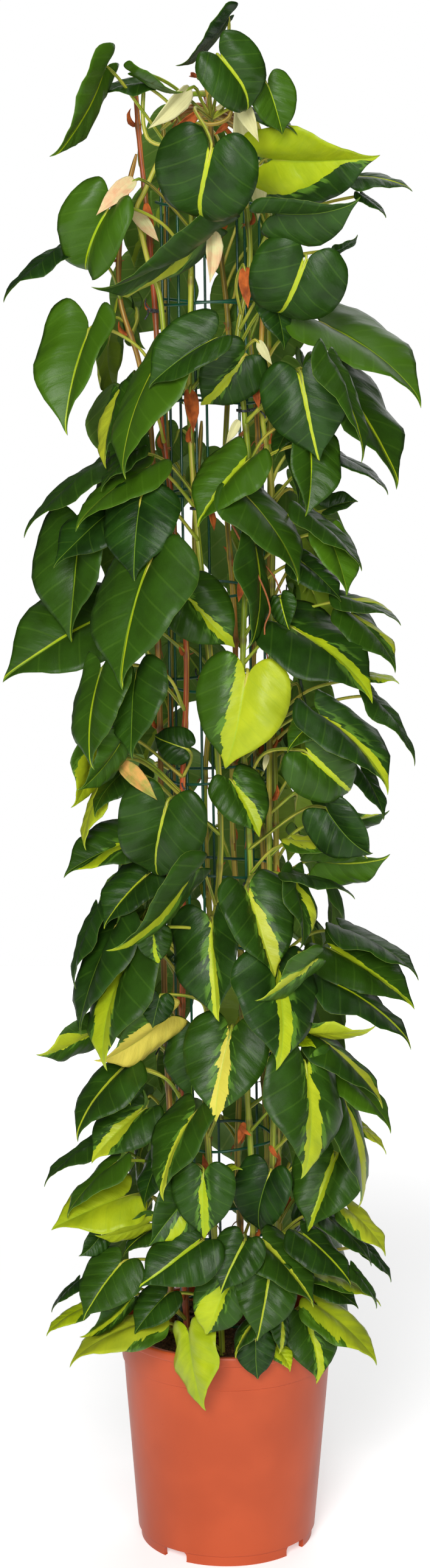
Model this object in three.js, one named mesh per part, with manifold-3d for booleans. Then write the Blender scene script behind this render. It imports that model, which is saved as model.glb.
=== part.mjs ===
// A potted Brasil philodendron. Leafy vines climb outside a round column of
// garden mesh, which stands in the soil of a terracotta-coloured pot.
// Millimetres, +Z up. The front of the plant faces -Y.
import * as THREE from 'three';
import Module from 'manifold-3d';

const wasm = await Module();
wasm.setup();

// Driving dimensions
const POT = {
  rimRadius: 120, height: 254, lipHeight: 9, lipProud: 2.2, stepDrop: 38, stepProud: 0.9,
  footRadius: 98.5, footWidth: 6, footHeight: 12.4, bottomRadius: 102.5,
  wall: 3, floor: 4, footGaps: 4, firstGapAngle: -37, gapWidth: 32, sides: 32,
};
const SOIL = { top: 239, unevenness: 3.5, gap: 1, rings: [6, 34, 56, 78, 98], sides: 20 };
const MESH_RADIUS = 53.5;
const MESH_CELL = 102.4;
const TOP_RING = 1493;
const RING_COUNT = 13;
const WIRE_RADIUS = 1.5;
const RING_SINK = 0.6;
const RING_WAVE = { height: 2, turns: 3, shift: 70 };
const RING_CORNER = { aside: 9, leastGap: 5 };
const WIRE_TOP = 1552;
const WIRE_DEPTH = 150;
const WIRE_STRAIGHT = 11;
const UPRIGHT_ANGLES = [-70, -38, -18, 33, 82, 135, 186, 237];
const COLUMN_LEAN = 20;
const HOLE_CLEARANCE = 0.35;
const STEM = { low: 4, high: 3, sides: 4, depth: 200 };
const TIE = {
  drop: 9, height: 2.6, thickness: 0.9, stemReach: 62.2, slack: 0.7, halfNear: 2.4, waist: 7.4,
  tail: 15, tailTurn: 9, tailRise: 2, tailRadius: 0.8,
};
const BLADE = {
  thickness: 1.8, halfWidth: 0.45, sinus: 0.024, centre: 0.42, curl: 0.05,
  leastBend: 0.5, mostBend: 1.9, mostFold: 0.6,
};
const PETIOLE = { radius: 1.9, sides: 4, neck: 0.05, neckStep: 2, neckDrop: 1.5 };
const CLEARANCE = 1.2;
const SLIVER = 0.05;

// Half outlines of a leaf and of a dry sheath, from the base to the tip, as
// parts of the length: along the midrib, and out from it.
const HEART = [[0, BLADE.sinus], [-0.15, 0.23], [0.13, BLADE.halfWidth], [0.56, 0.34]];
const SHEATH = [[0, 0.03], [0.1, 0.08], [0.4, 0.1], [0.75, 0.06]];

// How the front leaves are laid over each other.
const FOLIAGE = {
  halfWidth: 250, leastReach: 84, reachSpread: 34, reachTurn: 0.618,
  pushStep: 4, pushLimit: 36, shingle: 0.3, shadow: 260, oneSided: 1.7, evenTurn: 0.15, sheathWidth: 6,
};

// Leaves at the sides and the back stand in a spiral.
const BACK = {
  count: 48, low: 330, high: 1590, turn: 137.5, start: 80, sweep: 200, reach: 118, reachSpread: 30,
  length: 82, lengthSpread: 42, lift: 0.35, side: 142, topSide: 70, turnBack: 6,
  tucks: [0, 0.3, 0.6, 1], leastReach: 90,
};

// Where a petiole may meet a stem, and how it may bow.
const DROPS = [30, 60, 5, 95];
const BOWS = [0, 0.14, -0.1, 0.3];
const NEAREST_STEMS = 3;

// The eye point and focal length that the front view is drawn from, so that a
// leaf can be placed by where it shows there, in a frame of 707 x 2576.
const VIEW = { x: -13.3, y: -3407.5, z: 1512.4, pitch: 10.69, focal: 5210, centre: [353.5, 1288] };

const COLOUR = {
  pot: 0xc4603c, soil: 0x4a3526, wire: 0x1d4a3c, tie: 0x33383a, vine: 0x3f7a2c,
};

const radians = THREE.MathUtils.degToRad;
const vector = (x, y, z) => new THREE.Vector3(x, y, z);

// The column leans to the left as it rises.
function axisX(z) {
  const rise = Math.max(0, z - SOIL.top) / (TOP_RING - SOIL.top);
  return -COLUMN_LEAN * rise;
}

// A point round the column: angle 0 is the front, 90 the right-hand side.
function around(angle, radius, z) {
  const turn = radians(angle);
  return vector(axisX(z) + radius * Math.sin(turn), -radius * Math.cos(turn), z);
}

// A small repeatable random sequence.
function makeRandom(seed) {
  let state = seed;
  return () => {
    state = (state * 1664525 + 1013904223) % 4294967296;
    return state / 4294967296;
  };
}

// A closed shell that is built from points and faces.
class Shell {
  constructor() {
    this.points = [];
    this.faces = [];
  }

  add(point) {
    this.points.push(point);
    return this.points.length - 1;
  }

  face(a, b, c) {
    this.faces.push(a, b, c);
  }

  quad(a, b, c, d) {
    this.face(a, b, c);
    this.face(a, c, d);
  }

  cap(ring) {
    for (let i = 1; i < ring.length - 1; i++) this.face(ring[0], ring[i], ring[i + 1]);
  }

  wall(from, to) {
    for (let i = 0; i < from.length; i++) {
      const next = (i + 1) % from.length;
      this.quad(from[i], from[next], to[next], to[i]);
    }
  }

  solid() {
    const vertProperties = new Float32Array(this.points.flatMap((p) => [p.x, p.y, p.z]));
    const triVerts = new Uint32Array(this.faces);
    return new wasm.Manifold(new wasm.Mesh({ numProp: 3, vertProperties, triVerts }));
  }
}

// Joins solids, without the slivers that a join leaves.
function joined(solids) {
  return wasm.Manifold.union(solids).asOriginal().simplify(SLIVER);
}

function geometryOf(solid) {
  const mesh = solid.getMesh();
  const geometry = new THREE.BufferGeometry();
  geometry.setAttribute('position', new THREE.BufferAttribute(mesh.vertProperties, mesh.numProp));
  geometry.setIndex(new THREE.BufferAttribute(mesh.triVerts, 1));
  geometry.computeVertexNormals();
  return geometry;
}

// Carries a ring of offsets along a path without twisting it.
function carry(shell, ring, offsets, path, radii, tangent) {
  let before = ring;
  let heading = tangent.clone();
  const carried = offsets.map((offset) => offset.clone());
  for (let i = 1; i < path.length; i++) {
    const ahead = path[Math.min(i + 1, path.length - 1)].clone().sub(path[i - 1]).normalize();
    const turn = new THREE.Quaternion().setFromUnitVectors(heading, ahead);
    carried.forEach((offset) => offset.applyQuaternion(turn));
    heading = ahead;
    const after = carried.map((offset) => shell.add(offset.clone().multiplyScalar(radii[i]).add(path[i])));
    shell.wall(before, after);
    before = after;
  }
  shell.cap(before);
}

// A round bar along a path, closed at both ends.
function bar(path, radii, sides) {
  const shell = new Shell();
  const tangent = path[1].clone().sub(path[0]).normalize();
  const reference = Math.abs(tangent.z) > 0.9 ? vector(1, 0, 0) : vector(0, 0, 1);
  const u = reference.clone().cross(tangent).normalize();
  const v = tangent.clone().cross(u);
  const offsets = [];
  for (let i = 0; i < sides; i++) {
    const turn = (i / sides) * 2 * Math.PI;
    offsets.push(u.clone().multiplyScalar(Math.cos(turn)).addScaledVector(v, Math.sin(turn)));
  }
  const ring = offsets.map((offset) => shell.add(offset.clone().multiplyScalar(radii[0]).add(path[0])));
  shell.cap([...ring].reverse());
  carry(shell, ring, offsets, path, radii, tangent);
  return shell.solid();
}

function merged(geometry) {
  const shell = new Shell();
  const seen = new Map();
  const position = geometry.attributes.position;
  const index = [];
  for (let i = 0; i < position.count; i++) {
    const point = vector(position.getX(i), position.getY(i), position.getZ(i));
    const key = point.toArray().map((value) => Math.round(value * 1000)).join();
    if (!seen.has(key)) seen.set(key, shell.add(point));
    index.push(seen.get(key));
  }
  const order = geometry.index ? [...geometry.index.array] : index.map((_, i) => i);
  for (let i = 0; i < order.length; i += 3) {
    const [a, b, c] = [index[order[i]], index[order[i + 1]], index[order[i + 2]]];
    if (a !== b && b !== c && a !== c) shell.face(a, b, c);
  }
  return shell.solid();
}

function potRadius(z) {
  const slope = (POT.rimRadius - POT.lipProud - POT.bottomRadius) / (POT.height - POT.footHeight);
  return POT.bottomRadius + slope * (z - POT.footHeight);
}

// The pot is a tapered cup with a rolled lip, on a foot ring cut into four feet.
function makePot() {
  const lipBase = POT.height - POT.lipHeight;
  const step = POT.height - POT.stepDrop;
  const floorTop = POT.footHeight + POT.floor;
  const footInner = POT.footRadius - POT.footWidth;
  const profile = [
    [0, POT.footHeight], [footInner, POT.footHeight], [footInner, 0], [POT.footRadius, 0],
    [POT.footRadius, POT.footHeight], [POT.bottomRadius, POT.footHeight + 1], [potRadius(step), step],
    [potRadius(step) + POT.stepProud, step + 0.9], [potRadius(lipBase) + 0.4, lipBase],
    [POT.rimRadius, lipBase + 0.6], [POT.rimRadius, POT.height - 2], [POT.rimRadius - 1.6, POT.height],
    [POT.rimRadius - POT.lipProud - POT.wall, POT.height],
    [potRadius(floorTop) - POT.wall, floorTop], [0, floorTop],
  ].map(([r, z]) => new THREE.Vector2(r, z));
  const lathe = new THREE.LatheGeometry(profile, POT.sides).rotateX(Math.PI / 2);
  let pot = merged(lathe);
  const half = POT.gapWidth / 2;
  const notch = new THREE.Shape([
    [-half, -1], [half, -1], [half, POT.footHeight - 5], [half - 5, POT.footHeight - 0.4],
    [5 - half, POT.footHeight - 0.4], [-half, POT.footHeight - 5],
  ].map(([x, z]) => new THREE.Vector2(x, z)));
  for (let i = 0; i < POT.footGaps; i++) {
    const cutter = new THREE.ExtrudeGeometry(notch, { depth: 30, bevelEnabled: false });
    cutter.rotateX(Math.PI / 2).translate(0, -POT.footRadius + 15, 0);
    cutter.rotateZ(radians(POT.firstGapAngle + (i * 360) / POT.footGaps));
    pot = pot.subtract(merged(cutter));
  }
  return pot;
}

// Soil fills the pot and is uneven on top. Stems and wires stand in plain
// upright holes: standing lists the foot, radius and sides of each.
function makeSoil(standing) {
  const random = makeRandom(7);
  const shell = new Shell();
  const bottom = POT.footHeight + POT.floor + SOIL.gap;
  const inner = (z) => potRadius(z) - POT.wall - SOIL.gap;
  const circle = (radius, height) => {
    const row = [];
    for (let i = 0; i < SOIL.sides; i++) {
      const turn = (i / SOIL.sides) * 2 * Math.PI;
      row.push(shell.add(vector(radius * Math.cos(turn), radius * Math.sin(turn), height())));
    }
    return row;
  };
  const uneven = () => SOIL.top + (random() - 0.6) * 2 * SOIL.unevenness;
  const rows = [...SOIL.rings, inner(SOIL.top) - 0.6].map((radius) => circle(radius, uneven));
  const base = circle(inner(bottom), () => bottom);
  shell.cap(rows[0]);
  for (let k = 1; k < rows.length; k++) shell.wall(rows[k], rows[k - 1]);
  shell.wall(base, rows[rows.length - 1]);
  shell.cap([...base].reverse());
  const holes = standing.map(({ foot, radius, sides }) => {
    const low = foot.clone().setZ(foot.z - HOLE_CLEARANCE);
    const high = foot.clone().setZ(SOIL.top + 10);
    return bar([low, high], [radius + HOLE_CLEARANCE, radius + HOLE_CLEARANCE], sides);
  });
  return shell.solid().subtract(joined(holes));
}

// The column is a tube of welded garden mesh: uprights, with rings outside them.
function makeUpright(angle) {
  const shell = new Shell();
  const half = WIRE_RADIUS / MESH_RADIUS;
  const rows = [WIRE_DEPTH, SOIL.top + WIRE_STRAIGHT, WIRE_TOP].map((z) => [
    shell.add(around(angle, MESH_RADIUS - WIRE_RADIUS, z)),
    shell.add(around(angle - THREE.MathUtils.radToDeg(half), MESH_RADIUS + WIRE_RADIUS, z)),
    shell.add(around(angle + THREE.MathUtils.radToDeg(half), MESH_RADIUS + WIRE_RADIUS, z)),
  ]);
  shell.cap([...rows[0]].reverse());
  shell.wall(rows[0], rows[1]);
  shell.wall(rows[1], rows[2]);
  shell.cap(rows[2]);
  return shell.solid();
}

// The corners of a ring lie between the uprights, so that each upright meets
// the middle of a straight stretch.
function ringCorners() {
  const corners = UPRIGHT_ANGLES.flatMap((angle) => [angle - RING_CORNER.aside, angle + RING_CORNER.aside]);
  return corners.filter((angle, i) => i === 0 || angle - corners[i - 1] > RING_CORNER.leastGap);
}

// One ring. It rises and falls a little between the uprights.
function makeRing(k) {
  const shell = new Shell();
  const inner = MESH_RADIUS + WIRE_RADIUS - RING_SINK;
  const rows = ringCorners().map((angle) => {
    const wave = RING_WAVE.height * Math.sin(radians(RING_WAVE.turns * angle + RING_WAVE.shift * k));
    const z = TOP_RING - k * MESH_CELL + wave;
    return [
      shell.add(around(angle, inner, z)),
      shell.add(around(angle, inner + 2 * WIRE_RADIUS, z + WIRE_RADIUS)),
      shell.add(around(angle, inner + 2 * WIRE_RADIUS, z - WIRE_RADIUS)),
    ];
  });
  rows.forEach((row, i) => shell.wall(row, rows[(i + 1) % rows.length]));
  return shell.solid();
}

function makeColumn() {
  const rings = [];
  for (let k = 0; k < RING_COUNT; k++) rings.push(makeRing(k));
  return joined([...UPRIGHT_ANGLES.map(makeUpright), ...rings]);
}

// A place where a vine is tied to an upright, just under a ring.
function tied(ring, upright) {
  const z = TOP_RING - ring * MESH_CELL - TIE.drop;
  return { tie: true, spot: [UPRIGHT_ANGLES[upright], TIE.stemReach, z] };
}

// Each vine climbs through these places, given as angle, distance and height,
// from the soil up. Some arch over the open top of the column.
const VINES = [
  [[-45, 62.5, 252], [-52, 62.5, 400], [-46, 63, 560], [-40, 63, 710], tied(6, 1), [-30, 62.5, 1020],
    [-39, 63, 1119], [-46, 63, 1192], [-57, 64, 1265], tied(1, 0), [-84, 65, 1478], [-90, 72, 1560],
    [-88, 76, 1632]],
  [[-5, 62.5, 252], [-12, 63, 400], tied(9, 2), [-8, 63, 700], [2, 63, 820], [-4, 63, 1000],
    tied(3, 2), [-22, 63, 1290], [-18, 63, 1420], [-18, 60, 1550], [-58, 32, 1600], [90, 10, 1606],
    [80, 44, 1594], [71, 66, 1530]],
  [[26, 62.5, 252], [30, 63, 400], [24, 63, 600], tied(7, 3), [26, 63, 950], [31, 63, 1100],
    [38, 63, 1210], tied(2, 3), [26, 63, 1350], [42, 63, 1432], [38, 62, 1500], [30, 58, 1555],
    [0, 26, 1583], [-80, 30, 1583], [-108, 52, 1570]],
  [[62, 62.5, 252], [58, 63, 400], [66, 63, 600], [60, 63, 800], [66, 63, 950], tied(4, 4),
    [72, 66, 1195], [56, 63, 1285], [60, 63, 1370], [74, 63, 1440], [82, 66, 1495]],
  [[98, 62.5, 252], [104, 63, 450], [96, 63, 620], [92, 63, 760], [98, 63, 900], [108, 63, 1100],
    [100, 63, 1250], [104, 63, 1380], [112, 68, 1500]],
  [[128, 62.5, 252], [128, 63, 420], [134, 63, 570], [128, 63, 760], [140, 63, 930], tied(4, 5),
    [128, 63, 1220], [140, 66, 1360]],
  [[160, 62.5, 252], [166, 63, 420], [158, 63, 620], [166, 63, 820], [160, 63, 1020], [168, 63, 1200],
    [162, 63, 1350], [172, 63, 1470], [176, 60, 1556], [178, 34, 1612], [-40, 12, 1624],
    [0, 40, 1612], [4, 62, 1580]],
  [[-168, 62.5, 252], [-164, 63, 420], [-170, 63, 650], [-166, 63, 850], tied(5, 6), [-160, 63, 1120],
    [-170, 67, 1260]],
  [[-132, 62.5, 252], [-136, 63, 420], tied(9, 7), [-132, 63, 760], [-126, 63, 950],
    [-136, 63, 1130], [-126, 63, 1275], [-130, 63, 1400], [-136, 65, 1500], [-140, 74, 1580]],
  [[-92, 62.5, 252], [-84, 63, 370], tied(10, 0), [-82, 63, 600], [-88, 63, 760], [-80, 63, 960],
    [-86, 64, 1150], [-88, 66, 1260], [-93, 78, 1330], [-96, 96, 1390], [-97, 97, 1440],
    [-99, 90, 1495], [-108, 80, 1545]],
];

// The centre line of a vine's stem, with an upright stretch in the soil.
function stemPath(places) {
  const points = places.map((place) => around(...(place.spot ?? place)));
  return [points[0].clone().setZ(STEM.depth), ...points];
}

function makeStem(path) {
  const radii = path.map((_, i) => THREE.MathUtils.lerp(STEM.low, STEM.high, i / (path.length - 1)));
  return bar(path, radii, STEM.sides);
}

// A tie is a flat loop round an upright and a stem, with one twisted end.
function makeTie([angle, , z]) {
  const shell = new Shell();
  const width = STEM.low + 1;
  const near = MESH_RADIUS - WIRE_RADIUS - TIE.slack;
  const far = TIE.stemReach + STEM.low + TIE.slack;
  const waist = far - TIE.waist;
  const outline = [[near, -TIE.halfNear], [near, TIE.halfNear], [waist, width], [far, 0.7 * width],
    [far, -0.7 * width], [waist, -width]];
  const centre = (near + far) / 2;
  const row = (grow, height) => outline.map(([r, side]) => {
    const reach = r + Math.sign(r - centre) * (Math.abs(side) === width ? 0 : grow);
    const across = side + Math.sign(side) * grow;
    return shell.add(around(angle, reach, z + height).add(around(angle + 90, across, 0)));
  });
  const loops = [row(0, -TIE.height / 2), row(0, TIE.height / 2), row(TIE.thickness, TIE.height / 2),
    row(TIE.thickness, -TIE.height / 2)];
  loops.forEach((loop, i) => shell.wall(loop, loops[(i + 1) % loops.length]));
  const start = around(angle, waist, z).add(around(angle + 90, width + TIE.thickness / 2, 0));
  const twist = [start, around(angle + TIE.tailTurn, far + TIE.tail / 2, z + TIE.tailRise)];
  return shell.solid().add(bar(twist, [TIE.tailRadius, TIE.tailRadius], 3));
}

// Leaves

const PITCH = radians(VIEW.pitch);
const AHEAD = vector(0, Math.cos(PITCH), -Math.sin(PITCH));
const UP = vector(0, Math.sin(PITCH), Math.cos(PITCH));
const EYE = vector(VIEW.x, VIEW.y, VIEW.z);

// The point at a given depth that shows at a place in the front view.
function sight(px, py, y) {
  const across = (px - VIEW.centre[0]) / VIEW.focal;
  const down = (py - VIEW.centre[1]) / VIEW.focal;
  const ray = AHEAD.clone().addScaledVector(UP, -down).add(vector(across, 0, 0));
  return EYE.clone().addScaledVector(ray, (y - EYE.y) / ray.y);
}

function fraction(value) {
  return value - Math.floor(value);
}

// The surface that the foliage fills: rounded from side to side.
function foliageDepth(px, py, reach) {
  const point = sight(px, py, 0);
  const side = Math.min(1, Math.abs(point.x - axisX(point.z)) / FOLIAGE.halfWidth);
  return -reach * Math.sqrt(1 - side * side);
}

// A blade's frame. Its midrib is an arc that bends back from the base to the
// tip by bend. Both halves fold up from it by fold, and roll turns the blade
// about the line from base to tip, so that it faces more to the right.
function bladeFrame(base, tip, toViewer, bend, roll, fold) {
  const chord = tip.clone().sub(base);
  const length = (chord.length() * bend) / 2 / Math.sin(bend / 2);
  chord.normalize();
  const right = toViewer.clone().cross(chord).normalize();
  const facing = chord.clone().cross(right);
  const across = right.clone().multiplyScalar(Math.cos(roll)).addScaledVector(facing, -Math.sin(roll));
  const out = facing.clone().multiplyScalar(Math.cos(roll)).addScaledVector(right, Math.sin(roll));
  const along = chord.clone().multiplyScalar(Math.cos(bend / 2)).addScaledVector(out, Math.sin(bend / 2));
  const normal = out.clone().multiplyScalar(Math.cos(bend / 2)).addScaledVector(chord, -Math.sin(bend / 2));
  return { base, length, along, across, normal, bend, fold };
}

// A point of the blade: s runs from the base to the tip, w across it.
function bladePoint(frame, s, w) {
  const { length, along, across, normal, bend, fold } = frame;
  const turn = bend * s;
  const out = normal.clone().multiplyScalar(Math.cos(turn)).addScaledVector(along, Math.sin(turn));
  const rise = Math.abs(w) * Math.sin(fold) - BLADE.curl * (w / BLADE.halfWidth) ** 2;
  return frame.base.clone()
    .addScaledVector(along, (length * Math.sin(turn)) / bend)
    .addScaledVector(normal, (-length * (1 - Math.cos(turn))) / bend)
    .addScaledVector(across, w * Math.cos(fold) * length)
    .addScaledVector(out, rise * length);
}

// The blade is cut into triangles alike on both faces.
function addBlade(shell, frame, halfOutline, above, below, grow) {
  const stretch = 1 + (2 * grow) / frame.length;
  const left = halfOutline.map(([s, w]) => [s * stretch, -w * stretch]);
  const right = halfOutline.map(([s, w]) => [s * stretch, w * stretch]).reverse();
  const flat = [...left, [stretch, 0], ...right, [BLADE.centre, 0]].map(([s, w]) => bladePoint(frame, s, w));
  const top = flat.map((point) => shell.add(point.clone().add(above)));
  const bottom = flat.map((point) => shell.add(point.clone().sub(below)));
  const triangles = [[0, 1, 2], [0, 2, 9], [2, 3, 9], [3, 4, 9], [4, 5, 9], [5, 6, 9], [6, 8, 9], [6, 7, 8],
    [8, 0, 9]];
  triangles.forEach(([a, b, c]) => {
    shell.face(top[a], top[b], top[c]);
    shell.face(bottom[c], bottom[b], bottom[a]);
  });
  for (let k = 0; k < 8; k++) shell.quad(top[k], bottom[k], bottom[k + 1], top[k + 1]);
  return [top[8], bottom[8], bottom[0], top[0]];
}

function bladeSolid(frame, outline, above, below, grow) {
  const shell = new Shell();
  shell.cap(addBlade(shell, frame, outline, above, below, grow));
  return shell.solid();
}

function nearestOn(path, target) {
  let best = null;
  for (let i = 1; i < path.length; i++) {
    const nearest = new THREE.Line3(path[i - 1], path[i]).closestPointToPoint(target, true, vector(0, 0, 0));
    if (!best || nearest.distanceTo(target) < best.distanceTo(target)) best = nearest;
  }
  return best;
}

// The petiole leaves the blade's base and enters the stem, straight or bowed.
function petiolePath(frame, anchor, bow) {
  const neck = frame.base.clone()
    .addScaledVector(frame.along, -PETIOLE.neck * frame.length - PETIOLE.neckStep)
    .addScaledVector(frame.normal, -PETIOLE.neckDrop);
  if (bow === 0) return [frame.base, neck, anchor];
  const span = neck.distanceTo(anchor);
  const middle = neck.clone().lerp(anchor, 0.5).add(vector(0, 0, bow * span));
  return [frame.base, neck, middle, anchor];
}

function petioleOffsets(frame) {
  return [[1, 1], [1, -1], [-1, -1], [-1, 1]].map(([across, out]) => vector(0, 0, 0)
    .addScaledVector(frame.across, across * Math.SQRT1_2).addScaledVector(frame.normal, out * Math.SQRT1_2));
}

// The whole leaf as one shell.
function leafSolid(frame, outline, path) {
  const shell = new Shell();
  const half = frame.normal.clone().multiplyScalar(BLADE.thickness / 2);
  const ring = addBlade(shell, frame, outline, half, half, 0);
  const radii = path.map(() => PETIOLE.radius);
  carry(shell, ring, petioleOffsets(frame), path, radii, frame.along.clone().negate());
  return shell.solid();
}

// Leaves seen from the front: base x, y, tip x, y, and how wide the blade shows
// on each side of its midrib. What hangs lower is tucked under what hangs above.
const FRONT_LEAVES = [
  [372, 33, 291, 112, 14, 8], [364, 95, 412, 179, 44, 71], [440, 140, 462, 224, 30, 52],
  [418, 186, 488, 220, 8, 12], [170, 118, 84, 256, 14, 34], [235, 140, 146, 163, 16, 6],
  [222, 122, 300, 152, 8, 10], [345, 249, 332, 358, 85, 78], [448, 262, 624, 252, 80, 42],
  [590, 290, 678, 313, 14, 12], [596, 322, 636, 357, 6, 6], [455, 350, 597, 335, 60, 15],
  [178, 345, 154, 452, 85, 30], [100, 412, 3, 494, 9, 9], [336, 382, 151, 483, 10, 30],
  [500, 431, 464, 512, 74, 78], [556, 410, 590, 387, 8, 5], [530, 532, 705, 661, 24, 64],
  [147, 545, 106, 715, 85, 14], [347, 559, 243, 640, 75, 20], [399, 589, 329, 668, 48, 60],
  [494, 618, 525, 760, 72, 68], [550, 620, 650, 803, 20, 60], [541, 602, 597, 758, 8, 22],
  [266, 582, 195, 787, 45, 40], [196, 655, 172, 770, 20, 12], [222, 745, 162, 806, 14, 8],
  [403, 760, 322, 866, 55, 33], [165, 765, 38, 880, 12, 12], [231, 821, 221, 958, 58, 58],
  [190, 835, 92, 936, 40, 45], [240, 770, 120, 870, 30, 20], [406, 816, 498, 958, 35, 45],
  [510, 735, 505, 850, 25, 58], [540, 835, 590, 825, 5, 30], [565, 752, 641, 811, 6, 12],
  [505, 845, 597, 936, 12, 14], [540, 880, 568, 979, 22, 38], [462, 985, 478, 1035, 22, 20],
  [498, 925, 560, 990, 28, 24], [135, 870, 126, 1056, 80, 30], [165, 1015, 7, 1124, 80, 50],
  [246, 925, 196, 1134, 75, 62], [307, 979, 383, 1069, 50, 60], [420, 905, 414, 1071, 18, 24],
  [479, 1031, 624, 1146, 48, 62], [568, 985, 663, 1024, 10, 12], [580, 1010, 656, 1103, 25, 25],
  [405, 1111, 381, 1268, 81, 70], [223, 1108, 224, 1248, 50, 42], [166, 1103, 150, 1266, 42, 35],
  [150, 1230, 122, 1330, 18, 25], [170, 1290, 135, 1397, 12, 12], [200, 1270, 150, 1340, 20, 20],
  [303, 1229, 252, 1210, 35, 30], [527, 1175, 649, 1299, 25, 50], [507, 1239, 573, 1306, 55, 58],
  [613, 1148, 685, 1257, 8, 14], [595, 1268, 631, 1347, 12, 20], [525, 1180, 470, 1235, 30, 20],
  [600, 1110, 658, 1121, 8, 8], [383, 1286, 430, 1375, 40, 45], [540, 1335, 609, 1408, 60, 30],
  [530, 1415, 642, 1406, 45, 8], [558, 1346, 640, 1333, 22, 6], [495, 1382, 608, 1406, 10, 14],
  [485, 1438, 586, 1474, 6, 10], [274, 1323, 255, 1440, 75, 65], [215, 1383, 103, 1440, 52, 20],
  [240, 1440, 168, 1525, 45, 25], [311, 1440, 178, 1569, 15, 30], [349, 1519, 367, 1679, 72, 35],
  [408, 1469, 446, 1609, 42, 72], [480, 1445, 500, 1560, 10, 30], [512, 1580, 420, 1646, 15, 25],
  [455, 1590, 464, 1760, 62, 65], [548, 1561, 682, 1659, 38, 55], [570, 1530, 694, 1607, 10, 22],
  [548, 1616, 682, 1720, 22, 28], [510, 1695, 618, 1688, 10, 12], [470, 1700, 520, 1722, 14, 14],
  [215, 1565, 162, 1758, 40, 48], [190, 1525, 133, 1702, 25, 35], [157, 1503, 119, 1625, 8, 14],
  [252, 1530, 257, 1585, 28, 28], [262, 1640, 250, 1690, 25, 25], [271, 1673, 156, 1747, 22, 42],
  [160, 1690, 60, 1736, 22, 30], [322, 1699, 320, 1812, 60, 5], [378, 1697, 349, 1844, 72, 62],
  [504, 1754, 503, 1939, 58, 60], [232, 1826, 149, 1911, 48, 38], [318, 1832, 258, 1970, 50, 24],
  [200, 1758, 118, 1871, 38, 34], [212, 1760, 215, 1817, 26, 26], [527, 1708, 630, 1821, 18, 22],
  [560, 1765, 647, 1860, 20, 25], [575, 1840, 636, 1896, 8, 10], [566, 1808, 593, 1986, 22, 28],
  [550, 1902, 507, 2026, 62, 52], [442, 1930, 424, 2022, 58, 35], [334, 1930, 335, 2037, 50, 48],
  [330, 1942, 400, 1917, 12, 8], [203, 1966, 87, 2026, 50, 40], [155, 1880, 69, 1947, 8, 14],
  [190, 1910, 108, 2000, 20, 15], [240, 2010, 156, 2032, 10, 20], [312, 1960, 239, 2042, 35, 50],
  [198, 2077, 135, 2169, 45, 42], [327, 2041, 234, 2122, 52, 50], [400, 2043, 362, 2126, 42, 38],
  [437, 2047, 518, 2147, 30, 45], [442, 2097, 424, 2205, 45, 50], [370, 2115, 343, 2197, 45, 40],
  [273, 2128, 221, 2194, 35, 25], [213, 2135, 131, 2197, 15, 22], [135, 2150, 75, 2194, 10, 14],
  [126, 2107, 84, 2156, 6, 8], [240, 2172, 109, 2240, 28, 26], [311, 2192, 341, 2319, 35, 33],
  [430, 2160, 383, 2230, 22, 15], [420, 2200, 419, 2268, 30, 32], [462, 2165, 459, 2225, 14, 16],
  [503, 2169, 530, 2272, 38, 45], [525, 2147, 621, 2243, 25, 32], [530, 2110, 590, 2150, 15, 20],
  [455, 2215, 480, 2252, 12, 18], [500, 2030, 577, 2115, 30, 30], [545, 2005, 613, 2079, 12, 16],
  [575, 1990, 636, 2063, 18, 22], [600, 2050, 645, 2106, 6, 10], [580, 2088, 622, 2149, 6, 10],
  [520, 2090, 629, 2143, 8, 12], [165, 2030, 132, 2067, 15, 25],
  [452, 498, 466, 575, 26, 30], [486, 690, 452, 757, 22, 12], [196, 1222, 128, 1300, 20, 30],
  [262, 1905, 236, 1985, 25, 20], [255, 2018, 200, 2062, 14, 16],
];

// Dry sheaths, as base x, y and tip x, y.
const FRONT_SHEATHS = [
  [311, 144, 243, 212], [390, 160, 426, 234], [221, 295, 158, 354], [350, 380, 345, 465],
  [425, 560, 448, 600], [198, 1254, 259, 1315], [404, 440, 408, 507], [310, 640, 318, 712],
];

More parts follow.
